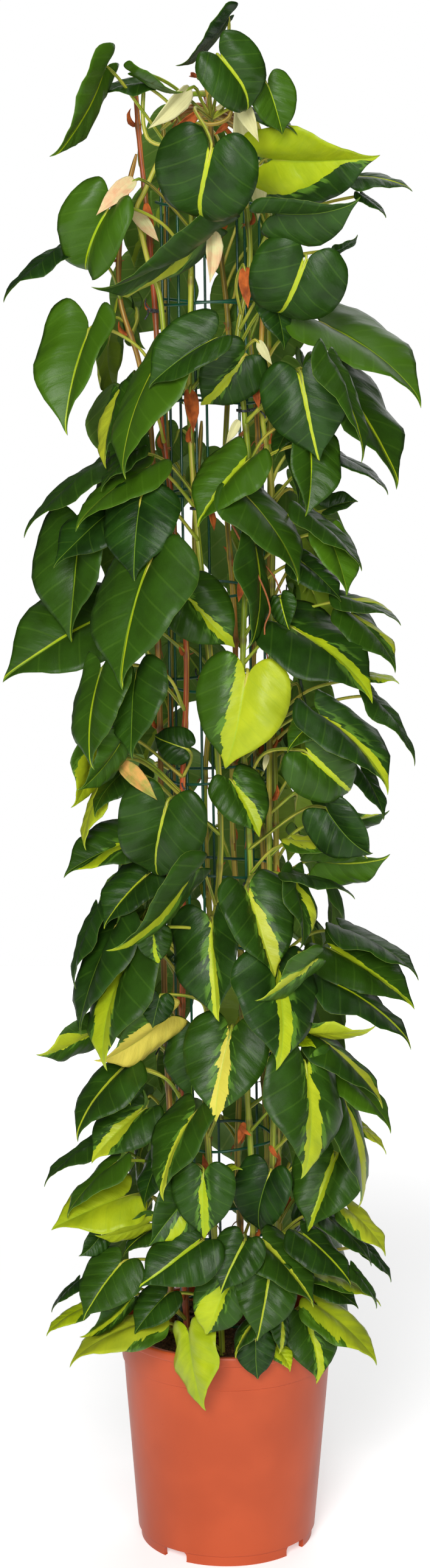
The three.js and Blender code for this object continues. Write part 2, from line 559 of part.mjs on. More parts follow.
// A blade that shows wider than its length allows bends away from the viewer.
// One that shows narrower is rolled to one side, or folded along its midrib.
function frontFrame(row, index, push) {
  const [baseX, baseY, tipX, tipY, leftPixels = FOLIAGE.sheathWidth, rightPixels = FOLIAGE.sheathWidth] = row;
  const reach = FOLIAGE.leastReach + FOLIAGE.reachSpread * fraction(index * FOLIAGE.reachTurn);
  const baseDepth = foliageDepth(baseX, baseY, reach) - push * FOLIAGE.pushStep;
  const base = sight(baseX, baseY, baseDepth);
  const scale = base.clone().sub(EYE).dot(AHEAD) / VIEW.focal;
  const shown = Math.hypot(tipX - baseX, tipY - baseY) * scale;
  const wider = Math.max(leftPixels, rightPixels);
  const width = Math.max(leftPixels + rightPixels, FOLIAGE.oneSided * wider) * scale;
  const short = Math.min(1, (shown * 2 * BLADE.halfWidth) / width);
  const bend = THREE.MathUtils.clamp(
    Math.sqrt(6 * (1 - short) * (1.35 - 0.35 * short)), BLADE.leastBend, BLADE.mostBend);
  const shingle = FOLIAGE.shingle * THREE.MathUtils.clamp((short - 0.6) / 0.4, 0, 1);
  const pitch = short < 1 ? bend / 2 - shingle : -shingle;
  const tip = sight(tipX, tipY, baseDepth + shown * Math.tan(pitch));
  const half = (BLADE.halfWidth * base.distanceTo(tip) * bend) / 2 / Math.sin(bend / 2);
  const turnOf = (pixels) => Math.acos(THREE.MathUtils.clamp((pixels * scale) / half, 0.1, 1));
  const [leftTurn, rightTurn] = [turnOf(leftPixels), turnOf(rightPixels)];
  const outward = Math.sign(base.x - axisX(base.z)) * Math.sign(baseY - tipY || -1) * -1;
  const even = Math.abs(leftTurn - rightTurn) < FOLIAGE.evenTurn;
  const side = even ? outward : Math.sign(leftTurn - rightTurn);
  const fold = Math.min(Math.abs(leftTurn - rightTurn) / 2, BLADE.mostFold);
  const toViewer = EYE.clone().sub(base).normalize();
  return bladeFrame(base, tip, toViewer, bend, (side * (leftTurn + rightTurn)) / 2, fold);
}

// How far a blade reaches to the left or the right of the column.
function sideReach(frame) {
  const aside = HEART.flatMap(([s, w]) => [bladePoint(frame, s, w), bladePoint(frame, s, -w)]);
  return Math.max(...[...aside, bladePoint(frame, 1, 0)].map((p) => Math.abs(p.x - axisX(p.z))));
}

// Leaves at the sides and the back stand in a spiral, each turned its own way.
// One that reaches too far to a side is tucked in, or moved round to the back.
function backFrame(index, push) {
  let angle = BACK.start + BACK.sweep * fraction((index * BACK.turn) / 360);
  const side = BACK.side + (BACK.topSide - BACK.side) * Math.max(0, (4 * index) / BACK.count - 3);
  for (; Math.abs(angle - 180) > BACK.turnBack; angle += Math.sign(180 - angle) * BACK.turnBack) {
    for (const tuck of BACK.tucks) {
      const frame = turnedFrame(index, push, angle, tuck);
      if (sideReach(frame) <= side) return frame;
    }
  }
  return turnedFrame(index, push, 180, 0);
}

function turnedFrame(index, push, angle, tuck) {
  const random = makeRandom(1000 + 77 * index);
  random();
  const z = BACK.low + ((BACK.high - BACK.low) * (index + 0.5)) / BACK.count;
  const length = BACK.length + BACK.lengthSpread * random();
  const beyond = BACK.reach - BACK.leastReach + BACK.reachSpread * random();
  const reach = BACK.leastReach + beyond * (1 - tuck) + push * FOLIAGE.pushStep;
  const base = around(angle, reach, z);
  const out = around(angle, 1, z).sub(around(angle, 0, z));
  const side = vector(-out.y, out.x, 0);
  const hang = vector(0, 0, -1).addScaledVector(out, 0.1 + 0.6 * random() * (1 - tuck))
    .addScaledVector(side, (random() - 0.5) * 1.5).normalize();
  const tip = base.clone().addScaledVector(hang, length);
  const toViewer = out.clone().addScaledVector(vector(0, 0, 1), BACK.lift).normalize();
  const bend = BLADE.leastBend + 0.6 * random();
  return bladeFrame(base, tip, toViewer, bend, random() - 0.5, 0.35 * random());
}

// Places every leaf where it is clear of all that is already there. It is moved
// outward, and its petiole goes to another place on a stem or bows, until it is.
function boxed(solid, extra) {
  const { min, max } = solid.boundingBox();
  return { solid, min, max, ...extra };
}

function touches(a, b) {
  for (let i = 0; i < 3; i++) if (a.min[i] > b.max[i] || b.min[i] > a.max[i]) return false;
  return !a.solid.intersect(b.solid).isEmpty();
}

function isClear(solid, others) {
  const item = boxed(solid);
  return !others.some((other) => touches(item, other));
}

function leafVariants(frame, stems) {
  const gapTo = (path) => nearestOn(path, frame.base).distanceTo(frame.base);
  const ranked = stems.map((path, vine) => ({ vine, path, gap: gapTo(path) }))
    .sort((a, b) => a.gap - b.gap).slice(0, NEAREST_STEMS);
  const variants = [];
  for (const { vine, path } of ranked) {
    for (const drop of DROPS) {
      const anchor = nearestOn(path, frame.base.clone().add(vector(0, 0, -drop)));
      for (const bow of BOWS) variants.push({ vine, path: petiolePath(frame, anchor, bow) });
    }
  }
  return variants;
}

function placeLeaf(frameAt, outline, stems, fixed, leaves, toEye, front) {
  for (let push = 0; push < FOLIAGE.pushLimit; push++) {
    const frame = frameAt(push);
    const margin = frame.normal.clone().multiplyScalar(BLADE.thickness / 2 + CLEARANCE);
    const blade = bladeSolid(frame, outline, margin, margin, CLEARANCE);
    const petioles = leaves.map((leaf) => leaf.petiole);
    const blades = leaves.map((leaf) => leaf.blade);
    if (!isClear(blade, [...fixed, ...blades, ...petioles])) continue;
    if (toEye) {
      const shadow = bladeSolid(frame, outline, toEye.clone().multiplyScalar(FOLIAGE.shadow), margin, 0);
      if (!isClear(shadow, leaves.filter((leaf) => leaf.front).map((leaf) => leaf.blade))) continue;
    }
    for (const { vine, path } of leafVariants(frame, stems)) {
      const radii = path.map(() => PETIOLE.radius + CLEARANCE);
      const petiole = bar(path.slice(1), radii.slice(1), PETIOLE.sides);
      const others = [...fixed.filter((item) => item.vine !== vine), ...blades,
        ...petioles.filter((item) => item.vine !== vine)];
      if (!isClear(petiole, others)) continue;
      const half = frame.normal.clone().multiplyScalar(BLADE.thickness / 2);
      return {
        vine, front,
        whole: leafSolid(frame, outline, path),
        blade: boxed(bladeSolid(frame, outline, half, half, 0), { vine }),
        petiole: boxed(bar(path, path.map(() => PETIOLE.radius), PETIOLE.sides), { vine }),
      };
    }
  }
  return null;
}

function makeVines(stems, fixed) {
  const leaves = [];
  const stemSolids = stems.map(makeStem);
  const standing = [
    ...fixed.map((solid) => boxed(solid)),
    ...stemSolids.map((solid, vine) => boxed(solid, { vine })),
  ];
  const place = (frameAt, outline, toEye) => {
    const front = Boolean(toEye);
    const leaf = placeLeaf(frameAt, outline, stems, standing, leaves, toEye, front)
      ?? placeLeaf(frameAt, outline, stems, standing, leaves, null, front);
    if (leaf) leaves.push(leaf);
  };
  const sighted = [
    ...FRONT_LEAVES.map((row, index) => ({ row, index, outline: HEART })),
    ...FRONT_SHEATHS.map((row, index) => ({ row, index, outline: SHEATH })),
  ].sort((a, b) => b.row[1] - a.row[1]);
  for (const { row, index, outline } of sighted) {
    const toEye = EYE.clone().sub(sight(row[0], row[1], 0)).normalize();
    place((push) => frontFrame(row, index, push), outline, toEye);
  }
  for (let index = 0; index < BACK.count; index++) {
    place((push) => backFrame(index, push), HEART, null);
  }
  return stemSolids.map((stem, vine) => joined([stem,
    ...leaves.filter((leaf) => leaf.vine === vine).map((leaf) => leaf.whole)]));
}

// Assembly

const stems = VINES.map(stemPath);
const uprightFeet = UPRIGHT_ANGLES.map((angle) => around(angle, MESH_RADIUS, WIRE_DEPTH));
const soil = makeSoil([
  ...stems.map((path) => ({ foot: path[0], radius: STEM.low, sides: STEM.sides })),
  ...uprightFeet.map((foot) => ({ foot, radius: 2 * WIRE_RADIUS, sides: 4 })),
]);
const pot = makePot();
const column = makeColumn();
const ties = VINES.flat().filter((place) => place.tie).map((place) => makeTie(place.spot));
const vines = makeVines(stems, [pot, soil, column, ...ties]);

const plant = new THREE.Group();

function addPart(name, solid, colour, roughness) {
  const material = new THREE.MeshStandardMaterial({ color: colour, roughness, metalness: 0 });
  const mesh = new THREE.Mesh(geometryOf(solid), material);
  mesh.name = name;
  plant.add(mesh);
}

const numbered = (name, i) => `${name}_${String(i + 1).padStart(2, '0')}`;
addPart('pot', pot, COLOUR.pot, 0.45);
addPart('soil', soil, COLOUR.soil, 0.95);
addPart('wire_column', column, COLOUR.wire, 0.4);
ties.forEach((tie, i) => addPart(numbered('tie', i), tie, COLOUR.tie, 0.6));
vines.forEach((vine, i) => addPart(numbered('vine', i), vine, COLOUR.vine, 0.4));

// The plant stands centred on the origin.
const bounds = new THREE.Box3().setFromObject(plant, true);
const middle = bounds.getCenter(vector(0, 0, 0));
plant.position.set(-middle.x, -middle.y, 0);
plant.updateMatrixWorld(true);

export default plant;
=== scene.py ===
# %% [markdown]
# # A potted Brasil philodendron
# The CAD model gives the frame: a pot, its soil, a column of garden mesh, eleven
# ties and ten leafy vines. This lesson dresses that frame, piece by piece, so
# that it looks like the real plant. First the imported model is loaded, and the
# pot's box gives the axis from which every place is measured.

# %% Load the frame
import math
import random

import bpy
import numpy as np
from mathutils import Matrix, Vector
from mathutils.kdtree import KDTree


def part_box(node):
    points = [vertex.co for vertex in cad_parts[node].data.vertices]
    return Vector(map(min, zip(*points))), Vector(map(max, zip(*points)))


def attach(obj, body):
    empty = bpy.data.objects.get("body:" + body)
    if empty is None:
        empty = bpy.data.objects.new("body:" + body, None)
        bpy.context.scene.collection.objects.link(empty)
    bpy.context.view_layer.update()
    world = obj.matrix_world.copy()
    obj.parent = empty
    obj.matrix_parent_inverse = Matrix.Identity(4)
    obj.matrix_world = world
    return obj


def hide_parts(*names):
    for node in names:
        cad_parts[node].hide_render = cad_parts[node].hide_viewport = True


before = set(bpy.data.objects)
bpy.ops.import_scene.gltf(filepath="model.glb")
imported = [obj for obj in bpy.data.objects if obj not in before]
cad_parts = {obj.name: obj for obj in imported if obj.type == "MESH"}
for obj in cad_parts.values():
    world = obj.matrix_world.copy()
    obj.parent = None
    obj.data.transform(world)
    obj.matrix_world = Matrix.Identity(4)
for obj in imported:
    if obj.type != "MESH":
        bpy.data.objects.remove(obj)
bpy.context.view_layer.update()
pot_low, pot_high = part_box("pot")
AXIS = Vector(((pot_low.x + pot_high.x) / 2, (pot_low.y + pot_high.y) / 2, 0))
MM = 0.001
print(f"{len(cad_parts)} CAD nodes, pot axis at {AXIS.x:.4f}, {AXIS.y:.4f}")

# %% [markdown]
# ## Camera and light
# The photograph was taken with a long lens, from near the height of the plant's
# top and looking a little down, and the camera stands where the CAD measured that
# view from. Two area lights stand near the camera, the left one the stronger, and
# weaker ones hang above and behind. Most light comes from the front, so round
# things darken towards their sides. The world lights the plant dimly but is seen
# as white, as the backdrop of a studio is. Colours are shown without a film curve,
# because a white studio should come out white and the leaves should stay green.

# %% Camera
VIEW = {"x": -13.3, "y": -3407.5, "z": 1512.4, "pitch": 10.69, "focal": 5210.0}
FRAME_PIXELS = (707, 2576)
SENSOR = 36.0
eye = AXIS + Vector((VIEW["x"], VIEW["y"], VIEW["z"])) * MM
bpy.ops.object.camera_add(location=eye, rotation=(math.radians(90 - VIEW["pitch"]), 0, 0))
camera = bpy.context.object
camera.data.sensor_width = SENSOR
camera.data.lens = SENSOR * VIEW["focal"] / FRAME_PIXELS[1]
camera.data.clip_end = 40
bpy.context.scene.camera = camera
print(f"camera lens {camera.data.lens:.2f} mm")

# %% Lights
LIGHTS = [  # name, place in metres from the pot's axis, size, power
    ("key", (-0.65, -3.7, 2.3), 1.2, 136),
    ("fill", (0.65, -3.7, 1.5), 1.4, 44),
    ("top", (0.2, -0.3, 3.5), 1.4, 24),
    ("back", (0.6, 3.0, 2.6), 2.6, 36),
]
LIGHT_AIM = 0.85
target = AXIS + Vector((0, 0, LIGHT_AIM))
for name, place, size, power in LIGHTS:
    spot = AXIS + Vector(place)
    turn = (target - spot).to_track_quat("-Z", "Y").to_euler()
    bpy.ops.object.light_add(type="AREA", location=spot, rotation=turn)
    lamp = bpy.context.object
    lamp.name = f"light_{name}"
    lamp.data.size = size
    lamp.data.energy = power
print(f"{len(LIGHTS)} soft lights")

# %% A world that is dim to the plant and white to the camera
WORLD_LIGHT = 0.06
WORLD_SEEN = 1.0
world = bpy.data.worlds.new("studio")
world.use_nodes = True
sky = world.node_tree
dim = sky.nodes["Background"]
bright = sky.nodes.new("ShaderNodeBackground")
for shade, strength in ((dim, WORLD_LIGHT), (bright, WORLD_SEEN)):
    shade.inputs["Color"].default_value = (1, 1, 1, 1)
    shade.inputs["Strength"].default_value = strength
rays = sky.nodes.new("ShaderNodeLightPath")
either = sky.nodes.new("ShaderNodeMixShader")
sky.links.new(rays.outputs["Is Camera Ray"], either.inputs[0])
sky.links.new(dim.outputs[0], either.inputs[1])
sky.links.new(bright.outputs[0], either.inputs[2])
sky.links.new(either.outputs[0], sky.nodes["World Output"].inputs["Surface"])
bpy.context.scene.world = world
bpy.context.scene.view_settings.view_transform = "Standard"
print(f"the world lights at {WORLD_LIGHT} and is seen at {WORLD_SEEN}")

# %% [markdown]
# ## Shader tools
# A material is a tree of nodes. Written out link by link it is hard to read, so
# one small class wraps a socket and turns Python sums into Math nodes, and one
# method adds every other node. A pattern can then be written as a formula.

# %% A socket that can be used in a sum
class Value:
    """A shader socket that adds a Math node when it meets an operator."""

    def __init__(self, finish, socket):
        self.finish = finish
        self.socket = socket

    def math(self, operation, *others):
        return self.finish.node("ShaderNodeMath", {"operation": operation}, [self, *others])

    def __add__(self, other):
        return self.math("ADD", other)

    __radd__ = __add__

    def __sub__(self, other):
        return self.math("SUBTRACT", other)

    def __rsub__(self, other):
        return self.finish.node("ShaderNodeMath", {"operation": "SUBTRACT"}, [other, self])

    def __mul__(self, other):
        return self.math("MULTIPLY", other)

    __rmul__ = __mul__

    def __abs__(self):
        return self.math("ABSOLUTE")

    def sign(self):
        return self.math("SIGN")

    def cosine(self):
        return self.math("COSINE")

    def step(self, low, high):
        """0 below low, 1 above high, and a smooth slope between."""
        return self.finish.node(
            "ShaderNodeMapRange", {"interpolation_type": "SMOOTHSTEP"},
            {"Value": self, "From Min": low, "From Max": high})


# %% A colour
def paint(red, green, blue):
    """An sRGB colour from 0 to 255 as the linear colour that a shader takes."""
    def linear(value):
        value /= 255
        return value / 12.92 if value <= 0.04045 else ((value + 0.055) / 1.055) ** 2.4

    return (linear(red), linear(green), linear(blue), 1)


# %% A material
class Finish:
    """A procedural material, built round one Principled shader."""

    def __init__(self, name, **fixed):
        self.material = bpy.data.materials.new(name)
        self.material.use_nodes = True
        self.nodes = self.material.node_tree.nodes
        self.links = self.material.node_tree.links
        self.shader = self.nodes["Principled BSDF"]
        for socket, value in fixed.items():
            self.shader.inputs[socket.replace("_", " ")].default_value = value

    def node(self, kind, settings=(), sockets=(), output=0):
        """Adds a node. Its settings come first, then its sockets get values or links."""
        node = self.nodes.new(kind)
        for key, value in dict(settings).items():
            setattr(node, key, value)
        pairs = sockets.items() if isinstance(sockets, dict) else enumerate(sockets)
        for key, value in pairs:
            self.feed(node.inputs[key], value)
        return Value(self, node.outputs[output])

    def feed(self, socket, value):
        if isinstance(value, Value):
            self.links.new(value.socket, socket)
        else:
            socket.default_value = value

    def place(self, scale=(1, 1, 1)):
        """Object coordinates, in metres, stretched by scale."""
        here = self.node("ShaderNodeTexCoord", output="Object")
        return self.node("ShaderNodeMapping", sockets={"Vector": here, "Scale": scale})

    def axis(self, vector, name):
        return self.node("ShaderNodeSeparateXYZ", sockets=[vector], output=name)

    def vector(self, x, y, z):
        return self.node("ShaderNodeCombineXYZ", sockets=[x, y, z])

    def noise(self, vector, scale, detail=3.0, roughness=0.55):
        return self.node("ShaderNodeTexNoise", sockets={
            "Vector": vector, "Scale": scale, "Detail": detail, "Roughness": roughness})

    def blend(self, factor, first, second):
        """first where factor is 0 and second where it is 1."""
        return self.node("ShaderNodeMix", {"data_type": "RGBA"},
                         {0: factor, 6: first, 7: second}, output=2)

    def layers(self, colour, *coats):
        """Coats over a colour. Each is a factor and what shows where the factor is 1."""
        for factor, coat in coats:
            colour = self.blend(factor, colour, coat)
        return colour

    def painted(self, name):
        """A colour attribute: its three numbers, and the fourth."""
        vector = self.node("ShaderNodeAttribute", {"attribute_name": name}, output="Vector")
        fourth = self.node("ShaderNodeAttribute", {"attribute_name": name}, output="Alpha")
        return [self.axis(vector, axis) for axis in "XYZ"] + [fourth]

    def relief(self, height, distance, strength=1.0):
        bump = self.node("ShaderNodeBump", sockets={
            "Height": height, "Distance": distance, "Strength": strength})
        self.set(Normal=bump)

    def set(self, **values):
        for socket, value in values.items():
            self.feed(self.shader.inputs[socket.replace("_", " ")], value)


# %% [markdown]
# ## Modelling tools
# Each finished piece takes a material, rides on the one body, and hides the CAD
# nodes it stands for. Everything is deselected before a new piece is started,
# because an operator acts on all that is selected.

# %% Pick and name a piece
def fresh():
    """Nothing is selected after this."""
    for thing in bpy.context.selected_objects:
        thing.select_set(False)


def pick(piece):
    """Only this piece is selected, and operators act on it."""
    fresh()
    piece.select_set(True)
    bpy.context.view_layer.objects.active = piece


def dress(piece, name, finish, slot, *nodes):
    """Names a finished piece and ties it to the frame."""
    piece.name = name
    piece.data.name = name
    piece.data.materials.clear()
    piece.data.materials.append(finish.material)
    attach(piece, "root")
    if nodes:
        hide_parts(*nodes)
    print(f"{name}: {sum(len(face.vertices) - 2 for face in piece.data.polygons)} triangles")
    return piece


# %% Shade, place, modify and copy a piece
def smooth(piece, angle=None):
    """Smooth shading, but with sharp edges above an angle if one is given."""
    pick(piece)
    if angle is None:
        bpy.ops.object.shade_smooth()
    else:
        bpy.ops.object.shade_smooth_by_angle(angle=math.radians(angle))


def apply_place(piece):
    """The place of a piece goes into its mesh."""
    pick(piece)
    bpy.ops.object.transform_apply(location=True, rotation=True, scale=True)


def apply_modifier(piece, kind, **settings):
    modifier = piece.modifiers.new(kind.lower(), kind)
    for key, value in settings.items():
        setattr(modifier, key, value)
    pick(piece)
    bpy.ops.object.modifier_apply(modifier=modifier.name)


def twin(piece):
    """A copy with a mesh of its own."""
    copy = piece.copy()
    copy.data = piece.data.copy()
    bpy.context.collection.objects.link(copy)
    return copy


# %% Meshes from points, given in millimetres from the pot's axis
class Sheaf:
    """Collects the points and faces of many like shapes for one mesh."""

    def __init__(self):
        self.points, self.faces, self.paints = [], [], {}
        self.count = 0

    def add(self, points, faces, **paints):
        self.points.append(np.asarray(points, float))
        self.faces.extend([[index + self.count for index in face] for face in faces])
        for name, values in paints.items():
            self.paints.setdefault(name, []).append(np.asarray(values, float))
        self.count += len(points)

    def object(self):
        """One object of all the shapes, with their paints as layers of its mesh."""
        points = np.concatenate(self.points) * MM + np.array(AXIS)
        mesh = bpy.data.meshes.new("sheaf")
        mesh.from_pydata(points.tolist(), [], self.faces)
        for key, values in self.paints.items():
            values = np.concatenate(values)
            if values.shape[1] == 2:
                layer = mesh.uv_layers.new(name=key)
                corners = np.zeros(len(mesh.loops), int)
                mesh.loops.foreach_get("vertex_index", corners)
                layer.data.foreach_set("uv", values[corners].ravel())
            else:
                layer = mesh.color_attributes.new(name=key, type="FLOAT_COLOR", domain="POINT")
                layer.data.foreach_set("color", values.ravel())
        piece = bpy.data.objects.new("sheaf", mesh)
        bpy.context.collection.objects.link(piece)
        smooth(piece)
        return piece


# %% Curves and tubes
def unit(vector):
    return vector / np.linalg.norm(vector)


def curve_through(points, spacing):
    """A smooth curve through points, as points about spacing apart."""
    points = [np.asarray(point, float) for point in points]
    ends = [2 * points[0] - points[1], *points, 2 * points[-1] - points[-2]]
    curve = []
    for before, start, end, after in zip(ends, ends[1:], ends[2:], ends[3:]):
        span = np.linalg.norm(end - start)
        lead = unit(end - before) * span
        leave = unit(after - start) * span
        steps = max(2, round(span / spacing))
        for k in range(steps):
            t = k / steps
            curve.append(
                (2 * t**3 - 3 * t**2 + 1) * start + (t**3 - 2 * t**2 + t) * lead
                + (-2 * t**3 + 3 * t**2) * end + (t**3 - t**2) * leave)
    return np.array([*curve, points[-1]])


def tube(path, radii, sides):
    """Points and faces of a closed tube along a path."""
    tangents = np.gradient(path, axis=0)
    tangents /= np.linalg.norm(tangents, axis=1)[:, None]
    side = unit(np.cross(tangents[0], [0.31, 0.83, 0.46]))
    turns = np.linspace(0, 2 * math.pi, sides, endpoint=False)
    points = []
    for here, tangent, radius in zip(path, tangents, radii):
        side = unit(side - tangent * np.dot(side, tangent))
        other = np.cross(tangent, side)
        points.extend(here + radius * (math.cos(a) * side + math.sin(a) * other) for a in turns)
    faces = [list(range(sides))[::-1]]
    for row in range(len(path) - 1):
        for k in range(sides):
            a, b = row * sides + k, row * sides + (k + 1) % sides
            faces.append([a, b, b + sides, a + sides])
    last = (len(path) - 1) * sides
    faces.append([last + k for k in range(sides)])
    return np.array(points), faces


def add_stalk(sheaf, line, radii, sides, tones, seed):
    """A tube with a stem's paints: the tones along it, and where a point lies on it."""
    turns = np.linspace(0, 2 * math.pi, sides, endpoint=False)
    ring = np.stack([np.cos(turns), np.sin(turns), np.zeros(sides), np.full(sides, seed)], axis=1)
    ring = np.tile(ring, (len(line), 1))
    ring[:, 2] = np.repeat(np.arange(len(line)), sides)
    sheaf.add(*tube(line, radii, sides), stem_tone=np.repeat(tones, sides, axis=0), stem_round=ring)


# %% [markdown]
# ## The pot
# The pot is a blow-moulded plastic one: a plain tapered wall, a thicker rim, a
# faint step where pots nest, and a foot ring with four rounded gaps. A lathe
# would do, but raising one ring of edges by extruding and scaling it is how such
# a pot is drawn by hand, and the gaps are then cut with four rounded blocks.

# %% Pot wall
POT_SIDES = 128
POT_START = (91.5, 12.4)
POT_RISE = [
    (91.5, 0.8), (92.2, 0), (96.4, 0), (97.2, 0.8), (97.8, 11.8), (98.4, 12.4), (99.8, 12.6),
    (100.6, 13.4), (101.9, 30), (105.5, 75), (109.8, 130), (113.5, 176), (116.2, 213.8),
    (118, 214.9), (118.2, 216.2), (118.7, 232), (119.2, 242.4), (119.9, 243.4), (121.9, 243.8),
    (122.5, 244.6), (122.7, 246), (122.7, 251), (122.4, 252.8), (121.6, 253.8), (120.4, 254),
    (117.4, 254), (116.4, 253.6), (115.9, 252.6), (114.6, 244), (112.4, 216), (104.5, 98),
    (99.7, 18), (98.4, 16.4),
]


def at_height(mm):
    """The point of the pot's axis at a height."""
    return AXIS + Vector((0, 0, mm * MM))


def raise_ring(start, rise, sides):
    """Raises a closed shell of rings round the pot's axis from one circle."""
    fresh()
    radius, height = start
    bpy.ops.mesh.primitive_circle_add(
        vertices=sides, radius=radius * MM, location=at_height(height))
    bpy.ops.object.mode_set(mode="EDIT")
    bpy.ops.mesh.select_all(action="SELECT")
    bpy.ops.mesh.edge_face_add()
    bpy.ops.mesh.select_all(action="SELECT")
    bpy.ops.mesh.extrude_edges_move()
    for wide, high in rise:
        bpy.ops.transform.translate(value=(0, 0, (high - height) * MM))
        share = wide / radius
        bpy.ops.transform.resize(value=(share, share, 1), center_override=at_height(high))
        radius, height = wide, high
        if (wide, high) != rise[-1]:
            bpy.ops.mesh.extrude_edges_move()
    bpy.ops.mesh.edge_face_add()
    bpy.ops.mesh.select_all(action="SELECT")
    bpy.ops.mesh.normals_make_consistent(inside=False)
    bpy.ops.object.mode_set(mode="OBJECT")
    piece = bpy.context.object
    apply_place(piece)
    return piece


pot = raise_ring(POT_START, POT_RISE, POT_SIDES)
print(f"pot wall {pot.dimensions.x:.3f} m wide, {pot.dimensions.z:.3f} m high")

# %% Gaps in the foot ring
FOOT_RADIUS = 97.5
GAP = {"first": -37, "count": 4, "width": 32, "depth": 30, "top": 12, "low": -2, "round": 5}
for k in range(GAP["count"]):
    angle = math.radians(GAP["first"] + k * 360 / GAP["count"])
    place = AXIS + Vector((FOOT_RADIUS * math.sin(angle), -FOOT_RADIUS * math.cos(angle),
                           (GAP["top"] + GAP["low"]) / 2)) * MM
    fresh()
    bpy.ops.mesh.primitive_cube_add(size=1, location=place, rotation=(0, 0, angle))
    cutter = bpy.context.object
    cutter.scale = (GAP["width"] * MM, GAP["depth"] * MM, (GAP["top"] - GAP["low"]) * MM)
    apply_place(cutter)
    apply_modifier(cutter, "BEVEL", width=GAP["round"] * MM, segments=5, limit_method="ANGLE")
    apply_modifier(pot, "BOOLEAN", object=cutter, operation="DIFFERENCE", solver="EXACT")
    bpy.data.objects.remove(cutter)
smooth(pot, 32)

# %% [markdown]
# ## The pot's plastic
# The plastic is dyed through, so it is one orange brown with faint clouds and
# small darker specks, and its skin is half smooth. Noise of three sizes gives
# that without a picture, and two of the three make a slight relief too.

# %% Pot plastic
plastic = Finish("pot_plastic", Roughness=0.4, Specular_IOR_Level=0.3)
cloud = plastic.noise(plastic.place(), 9)
speck = plastic.noise(plastic.place(), 420, 2)
grain = plastic.noise(plastic.place((1, 1, 0.25)), 60, 4)
tone = plastic.layers(paint(168, 68, 32), (cloud.step(0.35, 0.68), paint(180, 75, 37)),
                      (speck.step(0.62, 0.8) * 0.35, paint(150, 58, 30)))
plastic.set(Base_Color=tone, Roughness=0.36 + 0.12 * grain)
plastic.relief(grain * 0.6 + speck * 0.4, 0.0004, 0.25)
dress(pot, "pot_shell", plastic, "pot_plastic", "pot")

# %% [markdown]
# ## The soil
# Potting peat is a heap of brown crumbs and fibres. A disc that is inset ring by
# ring and displaced gives the uneven ground. Hundreds of rough crumbs and some
# fibres lie on it, so that its surface breaks up where it shows at the rim.

# %% Ground
SOIL_TOP = 239
SOIL_LOW = 19.0
SOIL_RADIUS = 112.0
SOIL_TAPER = 0.86
INSETS = {"count": 15, "width": 7}
LUMPS = {"size": 18, "height": 9}


def pick_faces(piece, test):
    """In edit mode, only the faces that pass a test are selected."""
    bpy.ops.mesh.select_all(action="DESELECT")
    bpy.ops.object.mode_set(mode="OBJECT")
    for face in piece.data.polygons:
        face.select = test(face)
    bpy.ops.object.mode_set(mode="EDIT")


fresh()
bpy.ops.mesh.primitive_cylinder_add(
    vertices=96, radius=SOIL_RADIUS * MM, depth=(SOIL_TOP - SOIL_LOW) * MM,
    location=at_height((SOIL_TOP + SOIL_LOW) / 2))
soil = bpy.context.object
bpy.ops.object.mode_set(mode="EDIT")
pick_faces(soil, lambda face: face.normal.z < -0.9)
bpy.ops.transform.resize(value=(SOIL_TAPER, SOIL_TAPER, 1), center_override=at_height(SOIL_LOW))
pick_faces(soil, lambda face: face.normal.z > 0.9)
for k in range(INSETS["count"]):
    bpy.ops.mesh.inset(thickness=INSETS["width"] * MM)
bpy.ops.object.mode_set(mode="OBJECT")
apply_place(soil)
top_group = soil.vertex_groups.new(name="top")
top_group.add([v.index for v in soil.data.vertices if v.co.z > (SOIL_TOP - 1) * MM], 1, "REPLACE")
lumps = bpy.data.textures.new("soil_lumps", "CLOUDS")
lumps.noise_scale = LUMPS["size"] * MM
lumps.noise_depth = 3
apply_modifier(soil, "DISPLACE", texture=lumps, strength=LUMPS["height"] * MM, mid_level=0.72,
               direction="Z", vertex_group="top", texture_coords="GLOBAL")
smooth(soil)
print(f"ground {soil.dimensions.x:.3f} m across")

# %% Crumbs and fibres
CRUMB = {"count": 900, "size": (0.9, 3.4), "stretch": ((0.6, 1.3), (0.5, 1), (0.4, 0.8)),
         "rough": (0.75, 1.25), "rise": (-1.5, 0.6), "edge": 5}
FIBRE = {"count": 90, "length": (4, 13), "rise": (-0.6, 1.6), "radius": 0.35, "edge": 11}
scatter = random.Random(11)
fresh()
bpy.ops.mesh.primitive_ico_sphere_add(subdivisions=1, radius=1)
lump = bpy.context.object
LUMP_POINTS = np.array([v.co[:] for v in lump.data.vertices])
LUMP_FACES = [list(face.vertices) for face in lump.data.polygons]
bpy.data.objects.remove(lump)


def on_soil(edge):
    """A random place on the ground, away from its edge."""
    radius = (SOIL_RADIUS - edge) * math.sqrt(scatter.random())
    angle = scatter.uniform(0, 2 * math.pi)
    return np.array([radius * math.cos(angle), radius * math.sin(angle), SOIL_TOP])


